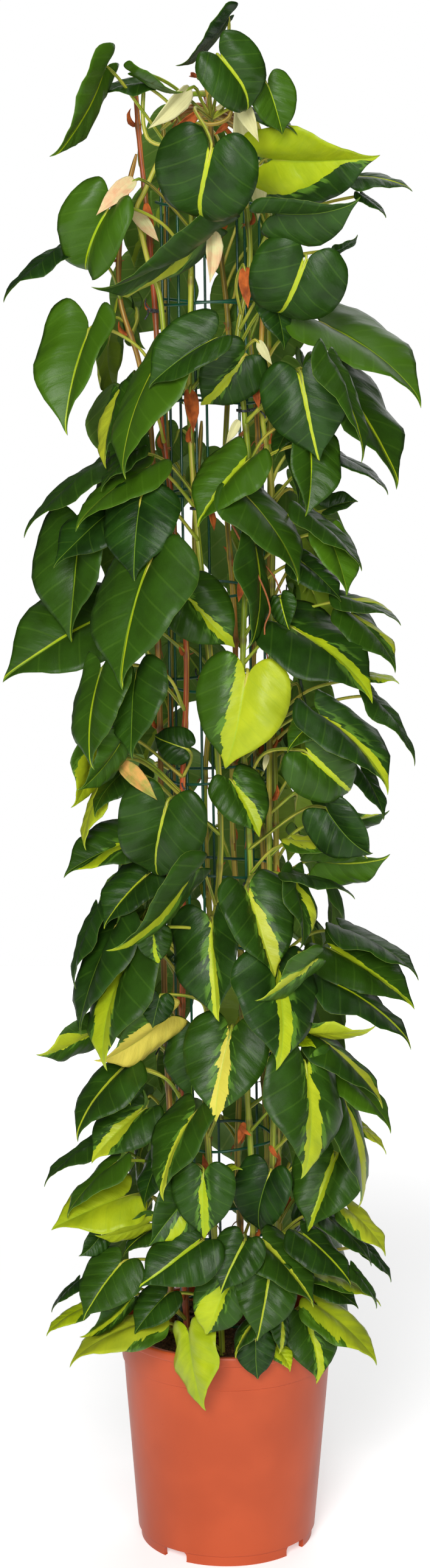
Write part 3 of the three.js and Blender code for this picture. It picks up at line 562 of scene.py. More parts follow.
crumbs = Sheaf()
for k in range(CRUMB["count"]):
    size = scatter.uniform(*CRUMB["size"])
    stretch = np.array([scatter.uniform(*span) for span in CRUMB["stretch"]])
    rough = np.array([[scatter.uniform(*CRUMB["rough"])] for _ in LUMP_POINTS])
    turn = scatter.uniform(0, math.pi)
    cosine, sine = math.cos(turn), math.sin(turn)
    points = (LUMP_POINTS * rough * stretch * size) @ np.array(
        [[cosine, sine, 0], [-sine, cosine, 0], [0, 0, 1]])
    place = on_soil(CRUMB["edge"])
    crumbs.add(points + place + [0, 0, scatter.uniform(*CRUMB["rise"])], LUMP_FACES)
for k in range(FIBRE["count"]):
    start = on_soil(FIBRE["edge"])
    heading = scatter.uniform(0, 2 * math.pi)
    length = scatter.uniform(*FIBRE["length"])
    path = [start + [length * t * math.cos(heading + t), length * t * math.sin(heading + t),
                     scatter.uniform(*FIBRE["rise"])] for t in (0, 0.3, 0.65, 1)]
    line = curve_through(path, 2)
    crumbs.add(*tube(line, np.full(len(line), FIBRE["radius"]), 5))
print(f"{CRUMB['count']} crumbs and {FIBRE['count']} fibres")

# %% [markdown]
# ## The peat's colour
# Damp peat is dark brown, and the fibres that dry out on top are lighter. Fine
# noise mixes the two and roughens the surface, and wide noise darkens patches.
# Peat hardly shines, so its roughness is near 1.

# %% Peat
peat = Finish("peat", Roughness=0.95, Specular_IOR_Level=0.2)
grit = peat.noise(peat.place(), 260, 5, 0.7)
damp = peat.noise(peat.place(), 30)
tone = peat.layers(paint(56, 37, 25), (grit.step(0.35, 0.7), paint(134, 94, 64)),
                   (damp.step(0.4, 0.65) * 0.5, paint(58, 36, 24)))
peat.set(Base_Color=tone, Roughness=0.85 + 0.15 * grit)
peat.relief(grit, 0.002, 0.8)
dress(soil, "soil_ground", peat, "soil", "soil")
dress(crumbs.object(), "soil_crumbs", peat, "soil")

# %% [markdown]
# ## The column of garden mesh
# Green coated wire is welded into a tube: eight uprights, with thirteen rings
# outside them. One upright is a small circle that is extruded twice, the second
# time with the column's lean, and a ring is a torus. Both are copied, and each
# copy has its own mesh.

# %% Column measures
MESH_RADIUS = 53.5
MESH_CELL = 102.4
TOP_RING = 1493
RING_COUNT = 13
RING_RADIUS = 55.8
WIRE_RADIUS = 1.5
WIRE = {"low": 150, "bend": 250, "top": 1552, "sides": 10, "round": 0.5}
UPRIGHT_ANGLES = [-70, -38, -18, 33, 82, 135, 186, 237]
COLUMN_LEAN = 20


def axis_x(z):
    """The column leans to the left as it rises."""
    return -COLUMN_LEAN * max(0, z - SOIL_TOP) / (TOP_RING - SOIL_TOP)


def around(angle, radius, z):
    """A point round the column: angle 0 is the front, 90 the right-hand side."""
    turn = math.radians(angle)
    return np.array([axis_x(z) + radius * math.sin(turn), -radius * math.cos(turn), z])


def outwards(angle, z):
    """The direction away from the column at a place round it."""
    return around(angle, 1, z) - around(angle, 0, z)


def quarter(direction):
    """The level direction a quarter turn on."""
    return np.array([-direction[1], direction[0], 0])


# %% Uprights
fresh()
bpy.ops.mesh.primitive_circle_add(
    vertices=WIRE["sides"], radius=WIRE_RADIUS * MM, fill_type="NGON",
    location=AXIS + Vector(around(0, MESH_RADIUS, WIRE["low"])) * MM)
upright = bpy.context.object
bpy.ops.object.mode_set(mode="EDIT")
bpy.ops.mesh.select_all(action="SELECT")
for low, high in ((WIRE["low"], WIRE["bend"]), (WIRE["bend"], WIRE["top"])):
    rise = Vector((axis_x(high) - axis_x(low), 0, high - low)) * MM
    bpy.ops.mesh.extrude_region_move(TRANSFORM_OT_translate={"value": rise})
bpy.ops.mesh.select_all(action="SELECT")
bpy.ops.mesh.normals_make_consistent(inside=False)
bpy.ops.object.mode_set(mode="OBJECT")
apply_place(upright)
apply_modifier(upright, "BEVEL", width=WIRE["round"] * MM, segments=2, limit_method="ANGLE")
wires = [upright, *(twin(upright) for _ in UPRIGHT_ANGLES[1:])]
for wire, angle in zip(wires, UPRIGHT_ANGLES):
    shift = Vector(around(angle, MESH_RADIUS, 0) - around(0, MESH_RADIUS, 0)) * MM
    for vertex in wire.data.vertices:
        vertex.co += shift
print(f"{len(wires)} uprights")

# %% Rings
RING_WAVE = {"height": 2, "count": 3, "turn": 70}
fresh()
bpy.ops.mesh.primitive_torus_add(
    location=AXIS, major_radius=RING_RADIUS * MM, minor_radius=WIRE_RADIUS * MM,
    major_segments=72, minor_segments=WIRE["sides"])
ring = bpy.context.object
apply_place(ring)
for k in range(RING_COUNT):
    height = TOP_RING - k * MESH_CELL
    copy = twin(ring)
    for vertex in copy.data.vertices:
        x, y = vertex.co.x - AXIS.x, vertex.co.y - AXIS.y
        turn = RING_WAVE["count"] * math.degrees(math.atan2(x, -y)) + RING_WAVE["turn"] * k
        wave = RING_WAVE["height"] * math.sin(math.radians(turn))
        vertex.co += Vector((axis_x(height), 0, height + wave)) * MM
    wires.append(copy)
bpy.data.objects.remove(ring)

# %% Join the wires
fresh()
for wire in wires:
    wire.select_set(True)
bpy.context.view_layer.objects.active = upright
bpy.ops.object.join()
column = bpy.context.object
smooth(column, 50)

# %% [markdown]
# ## The coat of the wires
# The wire has a thick coat of dark green plastic, duller and paler where it is
# rubbed. A plain colour would nearly do for something so thin, but two noises
# break up the shine where a long wire catches the light.

# %% Coated wire
coating = Finish("coated_wire", Roughness=0.3, Specular_IOR_Level=0.55, Coat_Roughness=0.2)
wear = coating.noise(coating.place(), 120, 4)
dust = coating.noise(coating.place((1, 1, 0.4)), 25)
tone = coating.layers(paint(4, 60, 40), (dust.step(0.4, 0.7), paint(8, 90, 58)),
                      (wear.step(0.63, 0.75) * 0.5, paint(70, 104, 92)))
coating.set(Base_Color=tone, Roughness=0.26 + 0.2 * wear)
coating.relief(wear, 0.0002, 0.4)
dress(column, "column_wires", coating, "coated_wire", "wire_column")

# %% [markdown]
# ## The ties
# Dark flat ties hold the vines to the uprights. Each is a loop of thin tape round
# a wire and a stem, and its two ends are twisted together and curl away. A loop
# and two twisted strands follow curves, so they are drawn as meshes along them.

# %% Where a tie goes
TIE = {"drop": 9, "reach": 62.2, "centre": 59, "height": 2.6, "thickness": 0.9, "knot": 5.4,
       "end": (9, 73, 2), "turns": 3, "twist": 1.0, "strand": 0.95, "tail": 4, "curl": 7, "sway": 2.5}
TIE_LOOP = [(50.9, -2.0), (50.5, 0), (50.9, 2.0), (55, 4.0), (59.5, 5.4), (64.3, 5.0), (66.9, 2.6),
            (67.3, 0), (66.9, -2.6), (64.3, -5.0), (59.5, -5.4), (55, -4.0)]


def tied(ring, upright):
    """A place where a vine is tied to an upright, just under a ring."""
    return (UPRIGHT_ANGLES[upright], TIE["reach"], TOP_RING - ring * MESH_CELL - TIE["drop"])


# %% One tie
def make_tie(sheaf, place, turn):
    """One loop of tape with its twisted ends, round an upright and a stem."""
    angle, _, z = place
    centre = around(angle, TIE["centre"], z)
    outward = unit(outwards(angle, z))
    sideways = quarter(outward)
    loop = [centre + outward * (reach - TIE["centre"]) + sideways * side for reach, side in TIE_LOOP]
    # The curve goes on past the loop at both ends, and one turn is cut out of it.
    line = curve_through([*loop[-2:], *loop, *loop[:2]], 1.6)
    first = int(np.argmin(np.linalg.norm(line - loop[0], axis=1)))
    ends = [k for k, p in enumerate(line) if k > first + 8 and np.linalg.norm(p - loop[0]) < 0.01]
    around_once = line[first:ends[0]]
    points, faces = [], []
    for p in around_once:
        away = unit((p - centre) * [1, 1, 0])
        for out, up in ((-1, -1), (1, -1), (1, 1), (-1, 1)):
            points.append(p + away * out * TIE["thickness"] / 2 + [0, 0, up * TIE["height"] / 2])
    for k in range(len(around_once)):
        after = (k + 1) % len(around_once)
        for j in range(4):
            i = (j + 1) % 4
            faces.append([4 * k + j, 4 * after + j, 4 * after + i, 4 * k + i])
    sheaf.add(points, faces)
    start = centre + outward * 0.5 + sideways * TIE["knot"]
    turned, reach, higher = TIE["end"]
    end = around(angle + turned, reach, z + higher)
    along = unit(end - start)
    side = unit(np.cross(along, [0, 0, 1]))
    other = np.cross(along, side)
    for half in (0, math.pi):
        strand = []
        for t in np.linspace(0, 1, 22):
            a = half + turn + t * TIE["turns"] * 2 * math.pi
            strand.append(start + (end - start) * t
                          + TIE["twist"] * (side * math.cos(a) + other * math.sin(a)))
        curl = 1 if half else -1
        for t in (0.35, 0.7, 1.0, 1.3, 1.6):
            strand.append(end + along * TIE["tail"] * t + other * curl * TIE["curl"] * t * t * 0.6
                          + side * curl * math.sin(3 * t + turn) * TIE["sway"])
        curve = curve_through(strand, 1.2)
        sheaf.add(*tube(curve, np.full(len(curve), TIE["strand"]), 6))


# %% [markdown]
# ## The stems
# Ten vines climb outside the column. Each stem is a smooth curve through the
# places that the CAD gives, with a swelling at every node, where the stem is
# ringed by an old scar and short brown roots feel for the wire. A curve with a
# round section would be smooth all along, so the tube is made in mesh code, which
# lets its radius and its colour change from node to node.

# %% Where the vines climb
VINES = [
    [[-45, 62.5, 252], [-52, 62.5, 400], [-46, 63, 560], [-40, 63, 710], tied(6, 1), [-30, 62.5, 1020],
      [-39, 63, 1119], [-46, 63, 1192], [-57, 64, 1265], tied(1, 0), [-84, 65, 1478], [-90, 72, 1560],
      [-88, 76, 1632]],
    [[-5, 62.5, 252], [-12, 63, 400], tied(9, 2), [-8, 63, 700], [2, 63, 820], [-4, 63, 1000],
      tied(3, 2), [-22, 63, 1290], [-18, 63, 1420], [-18, 60, 1550], [-58, 32, 1600], [90, 10, 1606],
      [80, 44, 1594], [71, 66, 1530]],
    [[26, 62.5, 252], [30, 63, 400], [24, 63, 600], tied(7, 3), [26, 63, 950], [31, 63, 1100],
      [38, 63, 1210], tied(2, 3), [26, 63, 1350], [42, 63, 1432], [38, 62, 1500], [30, 58, 1555],
      [0, 26, 1583], [-80, 30, 1583], [-108, 52, 1570]],
    [[62, 62.5, 252], [58, 63, 400], [66, 63, 600], [60, 63, 800], [66, 63, 950], tied(4, 4),
      [72, 66, 1195], [56, 63, 1285], [60, 63, 1370], [74, 63, 1440], [82, 66, 1495]],
    [[98, 62.5, 252], [104, 63, 450], [96, 63, 620], [92, 63, 760], [98, 63, 900], [108, 63, 1100],
      [100, 63, 1250], [104, 63, 1380], [112, 68, 1500]],
    [[128, 62.5, 252], [128, 63, 420], [134, 63, 570], [128, 63, 760], [140, 63, 930], tied(4, 5),
      [128, 63, 1220], [140, 66, 1360]],
    [[160, 62.5, 252], [166, 63, 420], [158, 63, 620], [166, 63, 820], [160, 63, 1020],
      [168, 63, 1200], [162, 63, 1350], [172, 63, 1470], [176, 60, 1556], [178, 34, 1612],
      [-40, 12, 1624], [0, 40, 1612], [4, 62, 1580]],
    [[-168, 62.5, 252], [-164, 63, 420], [-170, 63, 650], [-166, 63, 850], tied(5, 6),
      [-160, 63, 1120], [-170, 67, 1260]],
    [[-132, 62.5, 252], [-136, 63, 420], tied(9, 7), [-132, 63, 760], [-126, 63, 950],
      [-136, 63, 1130], [-126, 63, 1275], [-130, 63, 1400], [-136, 65, 1500], [-140, 74, 1580]],
    [[-92, 62.5, 252], [-84, 63, 370], tied(10, 0), [-82, 63, 600], [-88, 63, 760], [-80, 63, 960],
      [-86, 64, 1150], [-88, 66, 1260], [-93, 78, 1330], [-96, 96, 1390], [-97, 97, 1440],
      [-99, 90, 1495], [-108, 80, 1545]],
]
STEM_FOOT = 200
TIED_PLACES = [place for vine in VINES for place in vine if isinstance(place, tuple)]
stem_paths = []
for places in VINES:
    points = [around(*place) for place in places]
    stem_paths.append([np.array([*points[0][:2], STEM_FOOT]), *points])
print(f"{len(stem_paths)} vines, {len(TIED_PLACES)} ties")

# %% Tie the vines
# The tape is dark grey plastic, paler where it is scuffed.
tie_sheaf = Sheaf()
for number, place in enumerate(TIED_PLACES):
    make_tie(tie_sheaf, place, number * 1.3)
tape = Finish("tie_tape", Roughness=0.45, Specular_IOR_Level=0.45)
scuff = tape.noise(tape.place(), 300, 3)
tape.set(Base_Color=tape.blend(scuff.step(0.4, 0.8), paint(34, 38, 38), paint(88, 92, 92)),
         Roughness=0.38 + 0.25 * scuff)
tape.relief(scuff, 0.0003, 0.5)
tie_names = [f"tie_{k + 1:02d}" for k in range(len(TIED_PLACES))]
dress(tie_sheaf.object(), "twist_ties", tape, "tie_wire", *tie_names)

# %% Stems
# How brown and how red each vine's stem is, from 0 to 1.
STEM_TONES = [(0.75, 0.7), (0.3, 0.1), (0.2, 0.05), (0.3, 0.3), (0.4, 0.2), (0.5, 0.2),
              (0.5, 0.3), (0.45, 0.2), (0.6, 0.3), (0.8, 0.15)]
STEM = {"sides": 12, "radius": 3.6, "taper": 0.9, "first_node": (60, 110), "node_gap": 74,
        "gap_share": (0.75, 1.25), "last_node": 20, "bulge": 0.9, "bulge_length": 5.5,
        "tip": [0.9, 0.75, 0.45]}
growth = random.Random(5)
node_places = []
stem_sheaves = []
for vine, path in enumerate(stem_paths):
    line = curve_through(path, 7)
    along = np.concatenate([[0], np.cumsum(np.linalg.norm(np.diff(line, axis=0), axis=1))])
    radii = STEM["radius"] - STEM["taper"] * (along / along[-1])
    tones = np.tile([*STEM_TONES[vine], 0, vine / 10], (len(line), 1))
    where = growth.uniform(*STEM["first_node"])
    while where < along[-1] - STEM["last_node"]:
        bulge = np.exp(-((along - where) / STEM["bulge_length"]) ** 2)
        radii += STEM["bulge"] * bulge
        tones[:, 2] += bulge
        nearest = int(np.argmin(abs(along - where)))
        node_places.append((line[nearest], line[nearest + 1] - line[nearest]))
        where += STEM["node_gap"] * growth.uniform(*STEM["gap_share"])
    radii[-3:] *= STEM["tip"]
    stem_sheaves.append(Sheaf())
    add_stalk(stem_sheaves[vine], line, radii, STEM["sides"], tones, vine / 10)
print(f"{len(node_places)} nodes on the stems")

# %% Roots at the nodes
ROOT = {"length": (7, 20), "lean": (-1.2, 1.2), "drop": (-0.2, 1.1), "inward": 0.35,
        "radii": (0.95, 0.4)}
roots = Sheaf()
for place, heading in node_places:
    inward = unit(np.array([axis_x(place[2]) - place[0], -place[1], 0]))
    side = np.cross(inward, unit(heading))
    for k in range(growth.choice([1, 2, 2, 3])):
        length, lean, drop = (growth.uniform(*ROOT[key]) for key in ("length", "lean", "drop"))
        path = [place + length * t * (inward * ROOT["inward"] + side * lean * (1 - 0.4 * t)
                                      - np.array([0, 0, drop * t])) for t in (0, 0.35, 0.7, 1)]
        curve = curve_through(path, 3)
        roots.add(*tube(curve, np.linspace(*ROOT["radii"], len(curve)), 6))
print(f"{len(roots.points)} short roots")

# %% [markdown]
# ## Where the leaves are
# In the photograph each front leaf was read as the pixel of its base and of its
# tip, and how wide it shows on each side of its midrib. The CAD gives each one a
# depth, tucks what hangs lower under what hangs above, and joins it to the
# nearest stem. The same sums are done here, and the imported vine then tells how
# far each leaf was moved, because its tip is one of the vine's own points.

# %% The front leaves, as base, tip, widths and look
LEAVES = [
    (372, 33, 291, 112, 14, 8, "N"), (364, 95, 412, 179, 44, 71, "S"),
    (440, 140, 462, 224, 30, 52, "G"), (418, 186, 488, 220, 8, 12, "N"),
    (170, 118, 84, 256, 14, 34, "G"), (235, 140, 146, 163, 16, 6, "N"),
    (222, 122, 300, 152, 8, 10, "G"), (345, 249, 332, 358, 85, 78, "S"),
    (448, 262, 624, 252, 80, 42, "K"), (590, 290, 678, 313, 14, 12, "S"),
    (596, 322, 636, 357, 6, 6, "N"), (455, 350, 597, 335, 60, 15, "N"),
    (178, 345, 154, 452, 85, 30, "G"), (100, 412, 3, 494, 9, 9, "N"),
    (336, 382, 151, 483, 10, 30, "E"), (500, 431, 464, 512, 74, 78, "S"),
    (556, 410, 590, 387, 8, 5, "N"), (530, 532, 705, 661, 24, 64, "G"),
    (147, 545, 106, 715, 85, 14, "G"), (347, 559, 243, 640, 75, 20, "N"),
    (399, 589, 329, 668, 48, 60, "B"), (494, 618, 525, 760, 72, 68, "S"),
    (550, 620, 650, 803, 20, 60, "M"), (541, 602, 597, 758, 8, 22, "M"),
    (266, 582, 195, 787, 45, 40, "G"), (196, 655, 172, 770, 20, 12, "H"),
    (222, 745, 162, 806, 14, 8, "N"), (403, 760, 322, 866, 55, 33, "P"),
    (165, 765, 38, 880, 12, 12, "N"), (231, 821, 221, 958, 58, 58, "N"),
    (190, 835, 92, 936, 40, 45, "N"), (240, 770, 120, 870, 30, 20, "G"),
    (406, 816, 498, 958, 35, 45, "M"), (510, 735, 505, 850, 25, 58, "M"),
    (540, 835, 590, 825, 5, 30, "N"), (565, 752, 641, 811, 6, 12, "N"),
    (505, 845, 597, 936, 12, 14, "N"), (540, 880, 568, 979, 22, 38, "U"),
    (462, 985, 478, 1035, 22, 20, "S"), (498, 925, 560, 990, 28, 24, "N"),
    (135, 870, 126, 1056, 80, 30, "M"), (165, 1015, 7, 1124, 80, 50, "M"),
    (246, 925, 196, 1134, 75, 62, "M"), (307, 979, 383, 1069, 50, 60, "B"),
    (420, 905, 414, 1071, 18, 24, "S"), (479, 1031, 624, 1146, 48, 62, "B"),
    (568, 985, 663, 1024, 10, 12, "E"), (580, 1010, 656, 1103, 25, 25, "E"),
    (405, 1111, 381, 1268, 81, 70, "V"), (223, 1108, 224, 1248, 50, 42, "N"),
    (166, 1103, 150, 1266, 42, 35, "M"), (150, 1230, 122, 1330, 18, 25, "L"),
    (170, 1290, 135, 1397, 12, 12, "L"), (200, 1270, 150, 1340, 20, 20, "N"),
    (303, 1229, 252, 1210, 35, 30, "S"), (527, 1175, 649, 1299, 25, 50, "B"),
    (507, 1239, 573, 1306, 55, 58, "A"), (613, 1148, 685, 1257, 8, 14, "N"),
    (595, 1268, 631, 1347, 12, 20, "N"), (525, 1180, 470, 1235, 30, 20, "M"),
    (600, 1110, 658, 1121, 8, 8, "L"), (383, 1286, 430, 1375, 40, 45, "B"),
    (540, 1335, 609, 1408, 60, 30, "N"), (530, 1415, 642, 1406, 45, 8, "G"),
    (558, 1346, 640, 1333, 22, 6, "E"), (495, 1382, 608, 1406, 10, 14, "L"),
    (485, 1438, 586, 1474, 6, 10, "N"), (274, 1323, 255, 1440, 75, 65, "S"),
    (215, 1383, 103, 1440, 52, 20, "E"), (240, 1440, 168, 1525, 45, 25, "S"),
    (311, 1440, 178, 1569, 15, 30, "B"), (349, 1519, 367, 1679, 72, 35, "B"),
    (408, 1469, 446, 1609, 42, 72, "W"), (480, 1445, 500, 1560, 10, 30, "E"),
    (512, 1580, 420, 1646, 15, 25, "H"), (455, 1590, 464, 1760, 62, 65, "B"),
    (548, 1561, 682, 1659, 38, 55, "A"), (570, 1530, 694, 1607, 10, 22, "N"),
    (548, 1616, 682, 1720, 22, 28, "S"), (510, 1695, 618, 1688, 10, 12, "L"),
    (470, 1700, 520, 1722, 14, 14, "L"), (215, 1565, 162, 1758, 40, 48, "Q"),
    (190, 1525, 133, 1702, 25, 35, "N"), (157, 1503, 119, 1625, 8, 14, "N"),
    (252, 1530, 257, 1585, 28, 28, "B"), (262, 1640, 250, 1690, 25, 25, "N"),
    (271, 1673, 156, 1747, 22, 42, "C"), (160, 1690, 60, 1736, 22, 30, "H"),
    (322, 1699, 320, 1812, 60, 5, "N"), (378, 1697, 349, 1844, 72, 62, "Y"),
    (504, 1754, 503, 1939, 58, 60, "W"), (232, 1826, 149, 1911, 48, 38, "W"),
    (318, 1832, 258, 1970, 50, 24, "B"), (200, 1758, 118, 1871, 38, 34, "S"),
    (212, 1760, 215, 1817, 26, 26, "S"), (527, 1708, 630, 1821, 18, 22, "B"),
    (560, 1765, 647, 1860, 20, 25, "G"), (575, 1840, 636, 1896, 8, 10, "L"),
    (566, 1808, 593, 1986, 22, 28, "W"), (550, 1902, 507, 2026, 62, 52, "A"),
    (442, 1930, 424, 2022, 58, 35, "N"), (334, 1930, 335, 2037, 50, 48, "B"),
    (330, 1942, 400, 1917, 12, 8, "L"), (203, 1966, 87, 2026, 50, 40, "F"),
    (155, 1880, 69, 1947, 8, 14, "N"), (190, 1910, 108, 2000, 20, 15, "G"),
    (240, 2010, 156, 2032, 10, 20, "L"), (312, 1960, 239, 2042, 35, 50, "E"),
    (198, 2077, 135, 2169, 45, 42, "S"), (327, 2041, 234, 2122, 52, 50, "S"),
    (400, 2043, 362, 2126, 42, 38, "S"), (437, 2047, 518, 2147, 30, 45, "A"),
    (442, 2097, 424, 2205, 45, 50, "S"), (370, 2115, 343, 2197, 45, 40, "H"),
    (273, 2128, 221, 2194, 35, 25, "N"), (213, 2135, 131, 2197, 15, 22, "B"),
    (135, 2150, 75, 2194, 10, 14, "L"), (126, 2107, 84, 2156, 6, 8, "N"),
    (240, 2172, 109, 2240, 28, 26, "L"), (311, 2192, 341, 2319, 35, 33, "F"),
    (430, 2160, 383, 2230, 22, 15, "B"), (420, 2200, 419, 2268, 30, 32, "N"),
    (462, 2165, 459, 2225, 14, 16, "B"), (503, 2169, 530, 2272, 38, 45, "B"),
    (525, 2147, 621, 2243, 25, 32, "L"), (530, 2110, 590, 2150, 15, 20, "N"),
    (455, 2215, 480, 2252, 12, 18, "L"), (500, 2030, 577, 2115, 30, 30, "S"),
    (545, 2005, 613, 2079, 12, 16, "N"), (575, 1990, 636, 2063, 18, 22, "L"),
    (600, 2050, 645, 2106, 6, 10, "N"), (580, 2088, 622, 2149, 6, 10, "N"),
    (520, 2090, 629, 2143, 8, 12, "L"), (165, 2030, 132, 2067, 15, 25, "N"),
    (452, 498, 466, 575, 26, 30, "N"), (486, 690, 452, 757, 22, 12, "N"),
    (196, 1222, 128, 1300, 20, 30, "M"), (262, 1905, 236, 1985, 25, 20, "N"),
    (255, 2018, 200, 2062, 14, 16, "S"),
]
print(f"{len(LEAVES)} front leaves")

# %% Sheaths, and the measures of the CAD
SHEATHS = [
    (311, 144, 243, 212, "cream"), (390, 160, 426, 234, "cream"), (221, 295, 158, 354, "pink"),
    (350, 380, 345, 465, "pink"), (425, 560, 448, 600, "cream"), (198, 1254, 259, 1315, "olive"),
    (404, 440, 408, 507, "dry"), (310, 640, 318, 712, "dry"),
]
BLADE = {"thickness": 1.8, "half_width": 0.45, "curl": 0.05, "least_bend": 0.5, "most_bend": 1.9,
         "most_fold": 0.6}
PETIOLE = {"radius": 1.9, "neck": 0.05, "neck_step": 2, "neck_drop": 1.5}
FOLIAGE = {"half_width": 250, "least_reach": 84, "reach_spread": 34, "reach_turn": 0.618,
           "push_step": 4, "push_limit": 36, "shingle": 0.3, "one_sided": 1.7, "even_turn": 0.15,
           "sheath_width": 6}
BACK = {"count": 48, "low": 330, "high": 1590, "turn": 137.5, "start": 80, "sweep": 200,
        "reach": 118, "reach_spread": 30, "length": 82, "length_spread": 42, "lift": 0.35,
        "side": 142, "top_side": 70, "turn_back": 6, "tucks": [0, 0.3, 0.6, 1], "least_reach": 90}
CAD_HEART = [(0, 0.024), (-0.15, 0.23), (0.13, 0.45), (0.56, 0.34)]
DROPS = [30, 60, 5, 95]
BOWS = [0, 0.14, -0.1, 0.3]
print(f"{len(SHEATHS)} sheaths, and {BACK['count']} leaves at the sides and back")

# %% Sight lines
EYE = np.array([VIEW["x"], VIEW["y"], VIEW["z"]])
PITCH = math.radians(VIEW["pitch"])
AHEAD = np.array([0, math.cos(PITCH), -math.sin(PITCH)])
UP = np.array([0, math.sin(PITCH), math.cos(PITCH)])


def sight(px, py, depth):
    """The point at a given depth that shows at a place in the photograph."""
    ray = (AHEAD - UP * (py - FRAME_PIXELS[1] / 2) / VIEW["focal"]
           + np.array([(px - FRAME_PIXELS[0] / 2) / VIEW["focal"], 0, 0]))
    return EYE + ray * (depth - EYE[1]) / ray[1]


# %% Long roots, and stems that coil over the top
# Each runs through places of the photograph, at one depth. A stem has its radius
# and how brown it is first.
LONG_ROOTS = [
    (-132, [(370, 839), (394, 885), (419, 934), (444, 1000), (435, 1031), (441, 1090), (449, 1153)]),
    (-86, [(386, 830), (402, 872), (430, 920), (452, 950), (462, 975)]),
]
OVER_STEMS = [
    (2.4, 0.9, -52, [(280, 200), (293, 184), (315, 179), (348, 183), (373, 191), (397, 204),
                     (423, 224)]),
    (2.6, 0.8, -46, [(286, 212), (300, 190), (322, 184), (350, 188), (376, 197), (398, 212),
                     (415, 236)]),
    (2.3, 0.95, -40, [(290, 196), (318, 173), (350, 177), (380, 187), (405, 201), (428, 220)]),
    (2.7, 0.6, -60, [(285, 226), (304, 196), (330, 192), (356, 196), (382, 206), (402, 224)]),
    (2.2, 0.5, -74, [(372, 160), (379, 176), (377, 192), (357, 203), (335, 202), (327, 188)]),
    (2.2, 0.1, -80, [(236, 146), (235, 195), (242, 226), (255, 236), (272, 240), (290, 252)]),
    (2.9, 0.15, -76, [(323, 187), (304, 205), (288, 224), (268, 250), (253, 280), (238, 314),
                      (224, 345), (232, 382), (246, 438), (260, 476), (266, 512), (270, 560)]),
]
OVER_SIDES = 10
for depth, places in LONG_ROOTS:
    curve = curve_through([sight(px, py, depth) for px, py in places], 4)
    roots.add(*tube(curve, np.linspace(1.3, 0.7, len(curve)), 7))
over_sheaf = Sheaf()
for radius, tone, depth, places in OVER_STEMS:
    line = curve_through([sight(px, py, depth) for px, py in places], 5)
    tones = np.tile([tone, tone * 0.4, 0, radius / 3], (len(line), 1))
    add_stalk(over_sheaf, line, np.full(len(line), radius), OVER_SIDES, tones, radius)
print(f"{len(LONG_ROOTS)} long roots and {len(OVER_STEMS)} stems over the top")

# %% [markdown]
# ## One blade
# A blade is thin and bends back as it hangs. It could be a flat sheet with a bend
# modifier, but the CAD works each blade out from its base, its tip and how much
# it bends, and the same sums here put each blade just where the CAD has it.

# %% Blade frames
def clamp(value, low, high):
    return max(low, min(high, value))


def blade_frame(base, tip, to_viewer, bend, roll, fold):
    """A blade's midrib is an arc that bends back from its base to its tip by bend."""
    chord = tip - base
    length = np.linalg.norm(chord) * bend / 2 / math.sin(bend / 2)
    chord = unit(chord)
    right = unit(np.cross(to_viewer, chord))
    facing = np.cross(chord, right)
    across = right * math.cos(roll) - facing * math.sin(roll)
    out = facing * math.cos(roll) + right * math.sin(roll)
    along = chord * math.cos(bend / 2) + out * math.sin(bend / 2)
    normal = out * math.cos(bend / 2) - chord * math.sin(bend / 2)
    return {"base": base, "length": length, "along": along, "across": across,
            "normal": normal, "bend": bend, "fold": fold}


def blade_points(blade, s, w, lift=0.0):
    """Points of a blade: s runs from base to tip, w across, and lift off the surface in mm."""
    s, w = np.atleast_1d(s)[:, None], np.atleast_1d(w)[:, None]
    turn = blade["bend"] * s
    out = blade["normal"] * np.cos(turn) + blade["along"] * np.sin(turn)
    rise = np.abs(w) * math.sin(blade["fold"]) - BLADE["curl"] * (w / BLADE["half_width"]) ** 2
    length = blade["length"]
    return (blade["base"] + blade["along"] * length * np.sin(turn) / blade["bend"]
            - blade["normal"] * length * (1 - np.cos(turn)) / blade["bend"]
            + blade["across"] * w * math.cos(blade["fold"]) * length
            + out * (rise * length + np.reshape(lift, (-1, 1))))


# %% A front leaf
def foliage_depth(px, py, reach):
    """The surface that the foliage fills, rounded from side to side."""
    point = sight(px, py, 0)
    side = min(1, abs(point[0] - axis_x(point[2])) / FOLIAGE["half_width"])
    return -reach * math.sqrt(1 - side * side)


